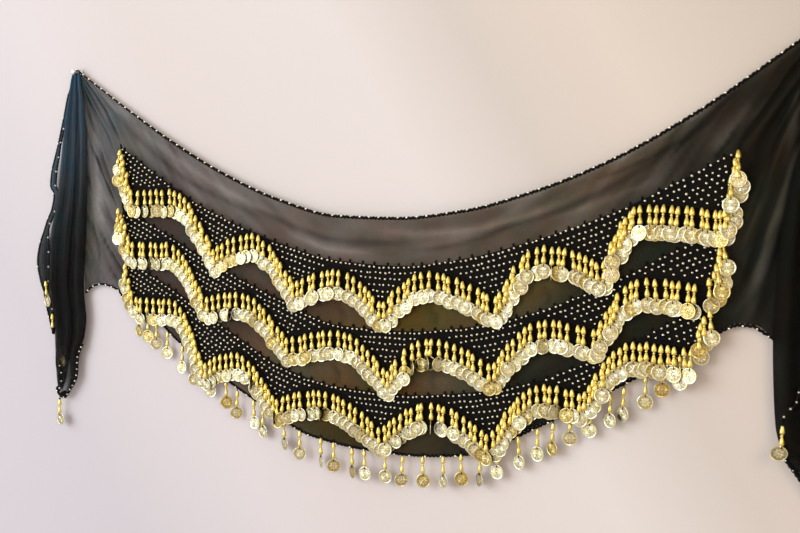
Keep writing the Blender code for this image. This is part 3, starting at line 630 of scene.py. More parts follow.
RIGHT_CREASES = (
    Crease(((1054, 80), (1032, 98), (1017, 113), (1000, 128), (983, 145), (962, 168)), 3.2, -2.2, 0.6),
    Crease(((1160, 6), (1136, 32), (1112, 59), (1095, 84), (1066, 125), (1044, 156)), 3.4, -3.2, 0.85),
    Crease(((1048, 126), (1039, 141), (1023, 162), (1016, 172)), 2.8, -1.8, 0.6),
    Crease(((1161, 10), (1134, 46), (1112, 80), (1097, 110), (1077, 148), (1061, 186), (1052, 214)),
           8.0, -3.2, 0.6),
    Crease(((1162, 12), (1138, 54), (1114, 100), (1092, 142), (1082, 175), (1074, 200)), 3.4, -2.4, 0.6),
    Crease(((1156, 8), (1118, 34), (1080, 66), (1050, 92)), 9.0, 1.8, 0.0),
    Crease(((1110, 66), (1084, 96), (1056, 128)), 4.0, 1.6, 0.0),
    Crease(((1163, 16), (1130, 90), (1105, 160), (1093, 194), (1077, 244), (1067, 282), (1056, 312),
            (1035, 345)), 6.5, -3.4, 0.75),
    Crease(((1164, 22), (1144, 90), (1122, 150), (1109, 194), (1099, 250), (1083, 314), (1070, 352),
            (1066, 362)), 6.0, -3.8, 0.9),
    Crease(((1112, 60), (1108, 136), (1102, 194), (1083, 251), (1069, 310), (1054, 362)), 8.5, 3.6, -0.55),
    Crease(((1062, 104), (1036, 136), (1012, 162)), 9.0, 1.8, -0.1),
    Crease(((1162, 8), (1110, 40), (1040, 84)), 17.0, 0.0, 0.4),
    Crease(((1070, 214), (1067, 229), (1058, 253), (1050, 275)), 4.0, 1.8, 0.0),
    Crease(((1090, 160), (1072, 205), (1060, 240), (1050, 262)), 3.0, -1.8, 0.5),
    Crease(((1150, 60), (1136, 130), (1124, 220), (1112, 300), (1104, 376)), 6.0, -3.0, 0.7),
    Crease(((1156, 70), (1148, 160), (1140, 250), (1132, 330), (1128, 380)), 6.5, 2.4, 0.2),
    Crease(((1132, 110), (1116, 190), (1106, 262), (1092, 350)), 5.0, 1.8, 0.1),
)


# %% Creases along the upper hem and between the bands


def along_hem(start, end, below_start, below_end, sag):
    """A line in the plain stretch under the upper hem, at a distance below it that drifts."""
    places = np.linspace(start, end, 16)
    share = (places - start) / (end - start)
    return np.stack([places, smooth_line(TOP_HEM, places) + below_start + (below_end - below_start) * share
                     + sag * np.sin(np.pi * share)], -1)


HEM_CREASES = (   # what along_hem takes, then the crease's width, depth and gather
    ((96, 262, 26, 42, 5), (5.0, -1.5, 0.22)), ((120, 410, 14, 20, 4), (4.2, 1.4, 0.0)),
    ((205, 372, 47, 36, -4), (4.6, -1.3, 0.2)), ((330, 640, 22, 31, 6), (5.4, -1.5, 0.2)),
    ((405, 560, 40, 46, 3), (4.4, 1.3, 0.0)), ((560, 862, 15, 25, 5), (5.0, 1.5, 0.0)),
    ((610, 770, 44, 30, 4), (4.2, -1.3, 0.2)), ((700, 985, 30, 22, 7), (4.6, -1.5, 0.25)),
    ((812, 960, 42, 52, -3), (4.4, 1.2, 0.0)), ((868, 1040, 12, 16, 6), (3.8, -1.4, 0.3)),
)
WINDOW_CREASES = (   # in the plain stretches between the bands
    Crease(((318, 320), (330, 345), (326, 372), (338, 396)), 5.5, -1.2, 0.25),
    Crease(((492, 362), (503, 378), (498, 392)), 4.5, -1.1, 0.2),
    Crease(((636, 358), (650, 372), (646, 386)), 5.0, -1.1, 0.25),
    Crease(((802, 322), (812, 338), (808, 356)), 4.2, -1.1, 0.2),
    Crease(((480, 446), (492, 462), (488, 480)), 5.0, -1.2, 0.25),
    Crease(((650, 448), (640, 462), (648, 474)), 4.6, -1.2, 0.2),
)
PLAIN_CREASES = tuple(Crease(along_hem(*line), *size) for line, size in HEM_CREASES) + WINDOW_CREASES
ALL_CREASES = LEFT_CREASES + RIGHT_CREASES + PLAIN_CREASES
print("creases:", len(ALL_CREASES))

# %% How creases shape the cloth


def fold_cloth(across, drop):
    """How far the creases push the cloth out, in mm, and how much they gather it, at many places at once."""
    push, gather = np.zeros_like(across), np.zeros_like(across)
    from_peg = np.minimum(np.hypot(across, drop), np.hypot(across - PEG_SPAN, drop))
    for crease in ALL_CREASES:
        line = np.array(crease.line, float)
        run = np.concatenate([[0], np.cumsum(np.hypot(*np.diff(line, axis=0).T))])
        nearest, side, reach = np.full(across.shape, 1e9), np.zeros_like(across), np.zeros_like(across)
        for (x0, y0), (x1, y1), begun, ended in zip(line, line[1:], run, run[1:]):
            length = max(ended - begun, 1e-6)
            ux, uy = (x1 - x0) / length, (y1 - y0) / length
            t = np.clip(((across - x0) * ux + (drop - y0) * uy), 0, length)
            away = np.hypot(across - x0 - t * ux, drop - y0 - t * uy)
            closer = away < nearest
            nearest = np.where(closer, away, nearest)
            side = np.where(closer, np.sign((across - x0) * uy - (drop - y0) * ux), side)
            reach = np.where(closer, (begun + t) / run[-1], reach)
        # narrower near a peg, and fading out at both ends
        width = crease.width * np.clip(from_peg / 90, 0.22, 1.0)
        fade = np.clip(reach / 0.16, 0, 1) * np.clip((1 - reach) / 0.22, 0, 1)
        # the fold itself, and a smaller one the other way on one side of it
        here = np.exp(-((nearest / width) ** 2)) * fade
        beside = np.exp(-(((side * nearest - 2.0 * width) / (1.3 * width)) ** 2)) * fade
        push += crease.depth * np.clip(from_peg / 60, 0.15, 1.0) * (here - 0.45 * beside)
        # more threads in a dip, fewer over a ridge, and the thinner cover lightens a ridge as a painted
        # highlight
        gather += 1.15 * crease.gather * np.exp(-((nearest / (0.8 * width)) ** 2)) * fade
        gather -= 0.28 * (crease.depth > 0) * here
    return push, gather


# %% [markdown]
# ## The body of the scarf
# The cloth is one crescent. At each peg it is drawn together into a fan, so the mesh is a fan there too,
# with its rows running out from the peg: folds then follow the edges of the mesh and stay clean. The
# embroidered stretch between the fans is a plain grid, and the three meet point for point. A thin
# Solidify gives the real shell two faces.

# %% The body of the scarf
FOLD_KNOTS = {  # the part's broad folds: share of the way down the end of the embroidery, and how far out
    "side": ((0.00, 0.0), (0.07, -3.0), (0.14, 1.5), (0.22, -3.5), (0.30, 2.5), (0.38, -4.5), (0.46, 2.0),
             (0.54, -4.0), (0.62, 3.0), (0.70, -3.0), (0.79, 2.0), (0.89, -2.5), (1.00, 1.0)),
    "left_arch": ((0.0, 1.0), (0.12, -2.0), (0.35, 1.5), (0.6, -2.0), (0.8, 1.5), (1.0, 0.0)),
    "right_arch": ((0.0, 1.0), (0.2, -2.0), (0.45, 1.5), (0.7, -2.0), (1.0, 0.0)),
}
RING_KNOTS = ((0.04, 0.20), (0.11, 0.55), (0.21, 0.85), (0.35, 1.0), (0.51, 0.9), (0.69, 0.65), (0.86, 0.4),
              (1.0, 0.2))
SIDE_RAYS, ARCH_RAYS, RINGS, BODY_COLUMNS = 85, 34, 46, 160
SOFTEN = 0.5          # share of the broad folds that is left, under the creases
DEEPEST_PUSH = -4.4   # the creases may push the cloth back this far
SHADE_TO_RIGHT = ((-200, 0.0), (36, 0.02), (80, 0.07), (250, 0.08), (600, 0.17), (900, 0.35), (1030, 0.61),
                   (1090, 0.88), (1400, 0.92))   # across, and how much more light the cloth stops: painted shade, away from the window
BODY_WALL, TAIL_WALL = 0.3, 0.25   # thickness of the cloth shells in mm


def room_for_folds(across, drop):
    """How far the cloth may come out: little behind the bands, more in the fans and under the upper hem."""
    outside = np.clip(np.maximum(BAND_LEFT - across, across - BAND_RIGHT) / 22, 0, 1)
    above = np.clip((band_top("upper", np.clip(across, BAND_LEFT, BAND_RIGHT)) - 4 - drop) / 14, 0, 1)
    return 0.35 + np.maximum(4.0 * outside, 2.4 * above)


def extra_cover(across, drop):
    """How much more light the cloth stops: more to the right, away from the window, and in the embroidered
    stretch under the upper band, where the bands shade the wall behind; both are painted shade.
    """
    to_right = smooth_line(SHADE_TO_RIGHT, across)
    inside = np.clip((across - BAND_LEFT) / 30, 0, 1) * np.clip((BAND_RIGHT - across) / 30, 0, 1)
    below = np.clip((drop - band_top("upper", np.clip(across, BAND_LEFT, BAND_RIGHT))) / 30, 0, 1)
    # streaks that fall more steeply than the upper hem, fainter in the middle
    steeper = drop - 2.5 * smooth_line(TOP_HEM, np.clip(across, 0, PEG_SPAN))
    shift = wave(across, (310, 5.0, 0.4), (130, 2.5, 1.9))
    streaks = wave(steeper + shift, (37, 0.15, 0.9), (22.5, 0.09, 2.2), (71, 0.12, 0.3))
    uneven = 0.75 + wave(across, (190, 0.25, 1.1), (87, 0.2, 0.2))
    uneven = uneven * np.clip(np.abs(across - 570) / 300, 0.25, 1)
    # closer low in the left corner and round the left peg
    low_left = 0.12 * np.clip((drop - 230) / 100, 0, 1) * np.clip((110 - across) / 60, 0, 1)
    low_left = low_left + 0.10 * np.exp(-np.hypot(across, drop) / 110)
    # one slack place low in the middle, and more cover again just above the lower hem
    slack = 0.42 * np.exp(-(((across - 653) / 55) ** 2) - ((drop - 466) / 20) ** 2)
    near_foot = np.clip(1 - (smooth_line(BOTTOM_HEM, np.clip(across, 76, 1050)) - drop) / 70, 0, 1)
    # Under the upper band the cloth stops more light: painted shade, where the bands and coins shade the wall
    # behind.
    return to_right + low_left + (0.54 + 0.40 * near_foot - slack) * inside * below + streaks * uneven


def cloth_sheet(across, drop, base):
    """Depth, gather and painted fold shade of the cloth at many places, from its broad folds (base) and its
    creases.
    """
    push, gather = fold_cloth(across, drop)
    pushed = np.maximum(np.minimum(base + push, room_for_folds(across, drop)), DEEPEST_PUSH)
    return (cloth_front(across) + pushed, np.clip(gather + extra_cover(across, drop), -0.3, 1),
            np.clip(0.5 - (base + push) / 5.0, 0, 1))


# %% The fans at the pegs and the stretch between them


def fan(peg, side_across, arch, arch_folds):
    """The cloth from a peg to one end of the embroidery and to the plain arch beside it."""
    share = np.linspace(0, 1, SIDE_RAYS)
    top, bottom = smooth_line(TOP_HEM, side_across), smooth_line(BOTTOM_HEM, side_across)
    line = np.vstack([[side_across, bottom], arch])
    lengths = np.hypot(*np.diff(line, axis=0).T)
    run = np.concatenate([[0], np.cumsum(lengths)]) / lengths.sum()
    steps = np.linspace(0, 1, ARCH_RAYS + 1)[1:]
    side_ends = np.stack([np.full(SIDE_RAYS, float(side_across)), top + (bottom - top) * share], -1)
    arch_ends = np.stack([smooth_line(np.stack([run, line[:, axis]], -1), steps) for axis in (0, 1)], -1)
    ends = np.concatenate([side_ends, arch_ends])
    folds = SOFTEN * np.concatenate([smooth_line(FOLD_KNOTS["side"], share), smooth_line(arch_folds, steps)])
    reach = 0.04 + 0.96 * np.linspace(0, 1, RINGS) ** 1.25
    across = peg + (ends[None, :, 0] - peg) * reach[:, None]
    drop = ends[None, :, 1] * reach[:, None]
    base = folds[None, :] * smooth_line(RING_KNOTS, reach)[:, None]
    out, gather, fold_shade = cloth_sheet(across, drop, base)
    near_peg = 0.75 * np.exp(-np.hypot(across - peg, drop) / 26)
    sheet = Shape(at(across, drop, out), grid_faces(RINGS, len(ends)))
    return sheet, np.clip(gather + near_peg, -0.3, 1), fold_shade


def middle():
    """The cloth behind the embroidery."""
    share = np.linspace(0, 1, SIDE_RAYS)[:, None]
    across = np.broadcast_to(np.linspace(BAND_LEFT, BAND_RIGHT, BODY_COLUMNS), (SIDE_RAYS, BODY_COLUMNS))
    top, bottom = smooth_line(TOP_HEM, across[0]), smooth_line(BOTTOM_HEM, across[0])
    drop = top + (bottom - top) * share
    inside = np.minimum(across - BAND_LEFT, BAND_RIGHT - across)
    base = SOFTEN * smooth_line(FOLD_KNOTS["side"], share) * FOLD_LEFT * np.clip(1 - inside / FOLD_FADE, 0, 1)
    out, gather, fold_shade = cloth_sheet(across, drop, base)
    return Shape(at(across, drop, out), grid_faces(SIDE_RAYS, BODY_COLUMNS)), gather, fold_shade


# %% The crescent as one shell


def weld(piece, distance=0.00002):
    """Joins points that lie in one place."""
    shape = bmesh.new()
    shape.from_mesh(piece.data)
    bmesh.ops.remove_doubles(shape, verts=shape.verts[:], dist=distance)
    bmesh.ops.recalc_face_normals(shape, faces=shape.faces[:])
    shape.to_mesh(piece.data)
    shape.free()


def thicken(piece, wall_mm):
    shell = piece.modifiers.new("cloth_shell", "SOLIDIFY")
    shell.thickness = wall_mm * MM
    shell.offset = 0.0


def flat_area(piece):
    return sum(face.area for face in piece.data.polygons)


def build_body():
    sheets = [fan(0, BAND_LEFT, LEFT_ARCH, FOLD_KNOTS["left_arch"]), middle(),
              fan(PEG_SPAN, BAND_RIGHT, RIGHT_ARCH, FOLD_KNOTS["right_arch"])]
    shapes, gathers, fold_shades = zip(*sheets)
    body = add_mesh("chiffon_crescent", joined(*shapes), chiffon,
                    attributes={"gather": np.concatenate([gather.ravel() for gather in gathers]),
                                "fold_shade": np.concatenate([fold_shade.ravel() for fold_shade in fold_shades])})
    weld(body)
    print("crescent of cloth in square metres:", round(flat_area(body), 3),
          "points:", len(body.data.vertices))
    thicken(body, BODY_WALL)
    return settle(body, "chiffon", "chiffon_body")


body = build_body()

# %% [markdown]
# ## The tails
# The two free ends of the crescent fall straight down from the pegs. There the cloth lies in three layers,
# folded over like a letter Z, and every layer follows the same upright folds. The sheet is one grid: its
# columns run across the first layer, back over the second and across the third, each just in front of the
# one before. Layers that are narrower or shorter than the one behind leave paler single stretches at the
# edges and the tip.

# %% The tails
LEFT_TAIL = np.array((  # drop, left edge, right edge, depth of the folds
    (1.9, -8, 8, 1.5), (17, -13, 10, 2.5), (44, -19, 15, 4), (84, -28, 18, 6), (120, -35, 19, 7),
    (160, -41, 19, 8), (216, -53, 16, 9), (263, -67, 12, 9), (309, -73, 7, 9), (355, -77, 3, 9),
    (376, -74, 4, 9), (400, -68, 6, 8), (434, -67, 0, 7), (470, -67, -18, 5.5), (503, -67, -23, 4),
    (526, -65, -39, 2.5), (538, -60, -49, 1.0)), float)
RIGHT_TAIL = np.array((
    (1.9, 1160, 1176, 1.5), (20, 1153, 1179, 2.5), (55, 1141, 1183, 4), (120, 1124, 1188, 7),
    (180, 1110, 1191, 9), (235, 1099, 1194, 9), (310, 1091, 1195, 9), (383, 1088, 1195, 9),
    (428, 1089, 1193, 8), (481, 1092, 1188, 7), (506, 1098, 1182, 6), (540, 1120, 1172, 4),
    (566, 1139, 1162, 2.5), (579, 1147, 1156, 1.0)), float)
LEFT_PLEATS = ((0, 0.3), (0.15, 0.85), (0.30, 0.2), (0.50, 0.7), (0.66, 0.1), (0.86, 1.0), (1, 0.2))
RIGHT_PLEATS = ((0, 0.3), (0.13, 1.0), (0.27, 0.0), (0.38, 0.7), (0.52, 0.1), (0.68, 1.0), (0.82, 0.15),
                (0.92, 0.8), (1, 0.2))
TAIL_OUT, TAIL_ROWS, LAYER_COLUMNS = 11.8, 84, 44
TUCKED_COIN = (-49.5, 478.0, 15.6)   # across, drop and out of a coin under the left tail's front layer
# A layer runs between two shares of the width, so many mm behind the front. ends: share, how far down.
Layer = namedtuple("Layer", "first last behind ends")

# %% A folded sheet


def tail_sheet(name, levels, pleats, layers, waver, slit, tucked=None):
    """One sheet folded over into layers, each with its own edges and end. A slit is a paler place at a share
    of the width, from a drop down. The front layer lies over a tucked coin, and is stretched thin there."""
    share, behind, ends = [], [], []
    for layer in layers:
        share.append(np.linspace(layer.first, layer.last, LAYER_COLUMNS))
        behind.append(np.full(LAYER_COLUMNS, float(layer.behind)))
        ends.append(np.interp(share[-1], *np.array(layer.ends, float).T))
    share, behind, ends = (np.concatenate(values)[None, :] for values in (share, behind, ends))
    down = np.linspace(0, 1, TAIL_ROWS)[:, None]
    first, last = levels[0, 0], levels[-1, 0]
    drop = first + (last - first) * ends * down
    left, right = smooth_line(levels[:, :2], drop), smooth_line(levels[:, (0, 2)], drop)
    depth = smooth_line(levels[:, (0, 3)], drop)
    drifted = np.clip(share + 0.025 * wave(drop, *waver) * np.sin(np.pi * share), 0, 1)
    rise = smooth_line(pleats, drifted)
    fine = 0.35 * wave(share, (0.055, 1, 0.4), (0.083, 0.8, 2.1)) * np.clip(drop / 120, 0.1, 1)
    out = TAIL_OUT + depth * rise * 0.97 - behind + fine * np.minimum(1, depth / 5)
    across = left + (right - left) * share
    gather = 0.5 * np.exp(-drop / 60) + 0.25 * np.clip(0.5 - rise, 0, 1)
    gather = gather - 0.62 * np.exp(-(((share - slit[0]) / 0.10) ** 2)) * np.clip((drop - slit[1]) / 12, 0, 1)
    if tucked:
        away = np.hypot(across - tucked[0], drop - tucked[1])
        over_coin = tucked[2] + 1.7 - 0.04 * np.clip(away - 13, 0, None) ** 2
        out = np.where(behind < 0.5, np.maximum(out, over_coin), out)
        thin = np.exp(-(((across - tucked[0] - 3.5) / 5.5) ** 4) - ((drop - tucked[1]) / 10) ** 4)
        gather = gather + (behind < 0.5) * (0.3 * np.exp(-((away / 15) ** 4)) - 0.7 * thin)
    # painted shade, darker in the troughs of the pleats
    fold_shade = np.broadcast_to(0.82 - 0.64 * rise, across.shape)
    return add_mesh(name, Shape(at(across, drop, out), grid_faces(*across.shape)), gathered,
                    attributes={"gather": gather, "fold_shade": fold_shade})


def finish_tail(tail, node):
    print(tail.name, "cloth in square metres:", round(flat_area(tail), 3))
    thicken(tail, TAIL_WALL)
    settle(tail, "chiffon", node)


# %% The two tails
LEFT_LAYERS = (
    Layer(0.00, 1.00, 1.75, ((0, 1.0), (1, 1.0))),
    Layer(0.99, 0.10, 1.1, ((0.1, 0.985), (0.5, 0.975), (0.57, 0.93), (0.62, 0.885), (0.74, 0.87),
                            (0.8, 0.95), (1, 0.985))),
    Layer(0.10, 0.60, 0.45, ((0.1, 0.985), (0.5, 0.97), (0.6, 0.90))))
RIGHT_LAYERS = (
    Layer(0.00, 1.00, 1.75, ((0, 1.0), (1, 1.0))), Layer(0.99, 0.0, 1.1, ((0, 0.95), (1, 0.98))),
    Layer(0.0, 0.92, 0.45, ((0, 0.94), (1, 0.84))))
finish_tail(tail_sheet("left_tail_cloth", LEFT_TAIL, LEFT_PLEATS, LEFT_LAYERS,
                       ((210, 1, 0.6), (83, 0.5, 2.0)), (0.65, 474), TUCKED_COIN),
            "left_tail")
finish_tail(tail_sheet("right_tail_cloth", RIGHT_TAIL, RIGHT_PLEATS, RIGHT_LAYERS,
                       ((240, 1, 1.9), (95, 0.5, 0.3)), (0.9, 560)),
            "right_tail")

# %% [markdown]
# ## The flap beside the left tail
# A narrow strip of the same corner has slipped out to the left of the tail. It hangs on its own, with a
# beaded edge on each side, and its outline wanders in and out. It is one layer, folded over once.

# %% The flap beside the left tail
SIDE_FOLD = np.array((
    (5, -11, -6, 0.5), (20, -13, -8, 0.5), (37, -21, -15, 0.5), (66, -30, -22, 0.8), (94, -39, -33, 0.8),
    (120, -48, -42, 1), (138, -55, -46, 1), (160, -63, -52, 1.5), (184, -67, -55, 1.5), (198, -60, -47, 1),
    (223, -66, -56, 1), (241, -77, -67, 1), (260, -86, -76, 1.2), (285, -98, -76, 1.5), (313, -104, -77, 1.5),
    (342, -99, -79, 1.2), (362, -92, -80, 0.8), (385, -87, -74, 0.8), (408, -81, -69, 0.8),
    (428, -76, -69, 0.5)), float)
SIDE_FOLD_OUT = 9.0


def build_flap():
    drop = np.linspace(5, 428, 120)[:, None]
    share = np.concatenate([np.linspace(0, 1, 16), np.linspace(0.97, 0.05, 16)])[None, :]
    behind = np.concatenate([np.full(16, 0.9), np.full(16, 0.2)])[None, :]
    left, right = smooth_line(SIDE_FOLD[:, :2], drop), smooth_line(SIDE_FOLD[:, (0, 2)], drop)
    depth = smooth_line(SIDE_FOLD[:, (0, 3)], drop)
    rise = smooth_line(((0, 0), (0.35, 1), (0.7, 0), (1, 0.6)), np.clip(share, 0, 1))
    ripple = 0.3 * wave(drop, (37, 1, 0.4), (61, 1, 1.3)) * np.sin(np.pi * share)
    out = SIDE_FOLD_OUT + depth * rise - behind + ripple
    across = left + (right - left) * share
    # the second attribute is painted shade, darker in the troughs of the fold
    attributes = {"gather": np.broadcast_to(0.1 + 0.5 * np.exp(-drop / 50), across.shape),
                  "fold_shade": np.broadcast_to(0.7 - 0.5 * rise, across.shape)}
    sheet = Shape(at(across, drop, out), grid_faces(*across.shape))
    flap = add_mesh("left_flap_cloth", sheet, gathered, attributes=attributes)
    print("flap cloth in square metres:", round(flat_area(flap), 4))
    thicken(flap, TAIL_WALL)
    settle(flap, "chiffon", "left_side_fold")


build_flap()

# %% [markdown]
# ## Crochet bands
# Each band is worked in black thread from its upper edge down, over the chiffon, and ends in the wave that
# carries the drops. Stitch relief would be lost in a flat sheet, so the mesh itself is quilted with low
# swellings and thinned at its edges, and the finest loops are bump.

# %% Crochet finish


def build_crochet(name, thread_pitch, colour, cool):
    material, tree, shader = new_material(name, Roughness=0.85, Specular_IOR_Level=0.12, Sheen_Weight=0.02,
                                          Sheen_Roughness=0.5, Sheen_Tint=(0.9, 0.85, 0.8))
    tint = place_group(tree, cloth_tint, Warm=(*colour, 1.0), Cool=(*cool, 1.0), Size=60.0)
    loops = place_group(tree, stitches, Pitch=thread_pitch, Raggedness=0.5)
    shade = mix_colour(tree, loops["Gap"], tint["Color"], (0.003, 0.003, 0.003))
    tree.links.new(shade, shader.inputs["Base Color"])
    bump_into(tree, shader, loops["Height"], 0.0006, 0.9)
    return material


crochet = build_crochet("black_crochet", 0.0033, (0.0075, 0.006, 0.0045), (0.004, 0.004, 0.0045))
braid = build_crochet("black_braid", 0.0021, (0.009, 0.0075, 0.006), (0.005, 0.005, 0.0055))

# %% Crochet bands
BEAD_ACROSS, BEAD_DOWN = 7.8, 8.4    # millimetres from bead to bead
CORD_TALL = 4.0                      # a band is at least this tall
BAND_ROWS = 34                       # rows of the band's mesh
CROCHET_WALL = 1.1                   # thickness of the visible band in mm


def cord_drop(row, across):
    """The middle of the cord that a row of drops is strung on."""
    return coin_line(row, across) - DROP_HEIGHT


def band_foot(row, across):
    return np.minimum(coin_line(row, across) - 10, smooth_line(BOTTOM_HEM, across) - 1.5)


def band_head(row, across):
    """A band's upper edge, which starts under the band above where that one hangs low."""
    head = band_top(row, across)
    if row != "upper":
        above = BAND_NAMES[BAND_NAMES.index(row) - 1]
        turns = COIN_TURNS[above]
        head = np.maximum(head, band_foot(above, np.clip(across, turns[0][0], turns[-1][0])) + 1.2)
    return head


def build_band(row):
    turns = COIN_TURNS[row]
    across = np.arange(turns[0][0], turns[-1][0], BEAD_ACROSS / 3)
    head = band_head(row, across)
    foot = np.maximum(band_foot(row, across), head + CORD_TALL)
    share = np.linspace(0, 1, BAND_ROWS)[:, None]
    drop = head + (foot - head) * share
    wide = np.broadcast_to(across, drop.shape)
    down = drop - band_top(row, across)
    swell = np.cos(2 * np.pi * wide / BEAD_ACROSS) * np.cos(2 * np.pi * down / (2 * BEAD_DOWN))
    edge = np.minimum(np.minimum((drop - head) / 2.5, (foot - drop) / 2.5), 1)
    out = band_front(wide) - 0.35 + 0.3 * swell * np.clip(edge, 0, 1) - 0.7 * (1 - np.clip(edge, 0, 1)) ** 2
    band = add_mesh(row + "_crochet_band", Shape(at(wide, drop, out), grid_faces(*drop.shape)), crochet)
    shell = band.modifiers.new("thread_thickness", "SOLIDIFY")
    shell.thickness = CROCHET_WALL * MM
    shell.offset = -1.0
    settle(band, "crochet", row + "_bead_band")


for row in BAND_NAMES:
    build_band(row)

# %% [markdown]
# ## Gold beads on the bands
# Round plastic beads with a gold coat are crocheted in as the work grows, so they sit in rows that follow
# the upper edge, and each row begins where it happens to. Handwork is never quite even: every bead is a
# little off its place and size. All beads of a band are one mesh.

# %% Gold finish for beads


def build_gold(name, bright, dull, size, smooth, rough, coat):
    material, tree, shader = new_material(name, Metallic=1.0, Coat_Weight=coat, Coat_Roughness=0.12)
    worn = place_group(tree, worn_metal, Bright=(*bright, 1.0), Dull=(*dull, 1.0), Size=size,
                       Smooth=smooth, Rough=rough)
    tree.links.new(worn["Color"], shader.inputs["Base Color"])
    tree.links.new(worn["Roughness"], shader.inputs["Roughness"])
    bump_into(tree, shader, worn["Scratches"], 0.00008, 0.6)
    return material


bead_gold = build_gold("cream_gold_beads", (1.0, 0.97, 0.84), (0.96, 0.88, 0.62), 260.0, 0.24, 0.38, 0.4)
spindle_gold = build_gold("satin_gold_spindles", (0.97, 0.81, 0.27), (0.84, 0.62, 0.12), 240.0,
                          0.30, 0.46, 0.3)

# %% Gold beads on the bands
BEAD_R = 1.9
BEAD_PROUD = 0.75   # a bead's middle stands this far in front of its band
MOST_LINES = 20     # more lines of beads than any band has room for


def ball(radius, sides, rings, tall=1.0):
    steps = np.arange(1, rings) * np.pi / rings
    return turned([(radius * math.sin(step), radius * tall * math.cos(step)) for step in steps], sides)


def bead_places(row, rng):
    turns = COIN_TURNS[row]
    found = []
    for line in range(MOST_LINES):
        across = np.arange(turns[0][0] + 4 + rng.uniform(0, BEAD_ACROSS), turns[-1][0] + 1, BEAD_ACROSS)
        across = across + rng.normal(0, 0.7, len(across))
        strayed = wave(across, (173, 0.7, 1.7 * line), (61, 0.4, 2.9 * line))
        drop = band_top(row, across) + 2.4 + BEAD_DOWN * line + strayed + rng.normal(0, 0.35, len(across))
        inside = (drop < cord_drop(row, across) - 3.5) & (drop > band_head(row, across) + 0.3)
        found.append(np.stack([across[inside], drop[inside]], -1))
    return np.concatenate(found)


def build_band_beads(row, seed):
    rng = np.random.default_rng(seed)
    places = bead_places(row, rng)
    sizes = rng.uniform(0.86, 1.1, len(places))
    spots = at(places[:, 0], places[:, 1], band_front(places[:, 0]) + BEAD_PROUD)
    placings = [placing(spot, lean=rng.uniform(-30, 30), swing=rng.uniform(-40, 40), size=size)
                for spot, size in zip(spots, sizes)]
    shape = copies(ball(BEAD_R, 8, 5, 0.86), placings)
    print(row, "band beads:", len(places), "with", len(shape.faces), "faces")
    settle(add_mesh(row + "_band_beads", shape, bead_gold), "gold")


for step, row in enumerate(BAND_NAMES):
    build_band_beads(row, 11 + step)

# %% [markdown]
# ## A drop: spindle, thread and coin
# The spindle is a turned bead: a bullet, a small ring, and a second cone. A turned part is a profile spun
# on its axis. The coin is stamped from thin sheet, so its relief is modelled on a round grid: a raised
# rim, a ring of dots and a rosette of eight petals, a plain design of no country. A map named `stamp`
# gives each coin its own flat coordinates, so that the finest ribs can be bump.

# %% Spindle and coin shapes
SPINDLE_PROFILE = (
    (0.6, -0.2), (1.5, -0.9), (2.3, -2.4), (3.05, -4.6), (3.55, -6.8), (3.75, -8.8), (3.6, -10.0),
    (2.4, -10.9), (1.0, -11.3), (1.95, -12.0), (2.2, -12.8), (1.9, -13.6), (1.1, -14.0), (1.9, -15.2),
    (2.9, -17.6), (3.5, -20.0), (3.75, -22.2), (3.45, -23.9), (2.3, -25.0), (0.8, -25.4))
COIN_HANG = DROP_HEIGHT + 1.5 - COIN_R
COIN_SIDES = 24


def coin_height(radius, angle):
    """Relief of the coin's face in millimetres above its flat ground."""
    rim = 0.30 * np.clip((radius - 8.6) / 0.45, 0, 1)
    dots = 0.2 * (np.abs(radius - 7.6) < 0.4) * (0.5 + 0.5 * np.cos(12 * angle))
    petal = np.cos(4 * angle) ** 2 * np.clip(np.sin(np.pi * np.clip((radius - 1.6) / 5.2, 0, 1)), 0, 1)
    boss = 0.26 * np.clip(1 - (radius / 1.7) ** 2, 0, 1)
    return rim + dots + 0.30 * petal + boss


def coin_shape():
    """A coin in the plane of X and Z with its face towards -Y, hanging COIN_HANG below the origin."""
    angles = np.arange(COIN_SIDES) * 2 * np.pi / COIN_SIDES + np.pi / 2
    front = (0.4, 1.3, 2.2, 4.2, 6.2, 7.1, 7.6, 8.1, 8.65, 9.1, 9.9)
    rings = [(radius, -0.3 - coin_height(radius, angles)) for radius in front]
    even = np.ones(COIN_SIDES)
    rings += [(COIN_R, -0.4 * even), (COIN_R, 0.3 * even), (9.0, 0.35 * even)]
    points = np.array([np.stack([radius * np.cos(angles), depth + 0 * angles,
                                 radius * np.sin(angles) - COIN_HANG], -1) for radius, depth in rings]) * MM
    relief = np.array([np.clip((-depth - 0.3) / 0.30, 0, 1) + 0 * angles for _, depth in rings])
    relief[len(front):] = 0.7
    faces = [list(face) for face in grid_faces(len(rings), COIN_SIDES, wrap=True)]
    last = (len(rings) - 1) * COIN_SIDES
    faces += [list(range(COIN_SIDES))[::-1], list(range(last, last + COIN_SIDES))]
    return Shape(points.reshape(-1, 3), faces), relief.ravel()


def coin_stamp(count, shape):
    """Flat coordinates, from 0 to 1 over the coin, for each point of so many coins."""
    flat = shape.points[:, (0, 2)] / (2 * COIN_R * MM) + np.array([0.5, 0.5 + COIN_HANG / (2 * COIN_R)])
    return np.tile(flat, (count, 1))


spindle_shape = turned(SPINDLE_PROFILE, 8)
coin_pattern, coin_relief = coin_shape()
print("faces of a spindle:", len(spindle_shape.faces), "and of a coin:", len(coin_pattern.faces))

# %% Finish of the coins


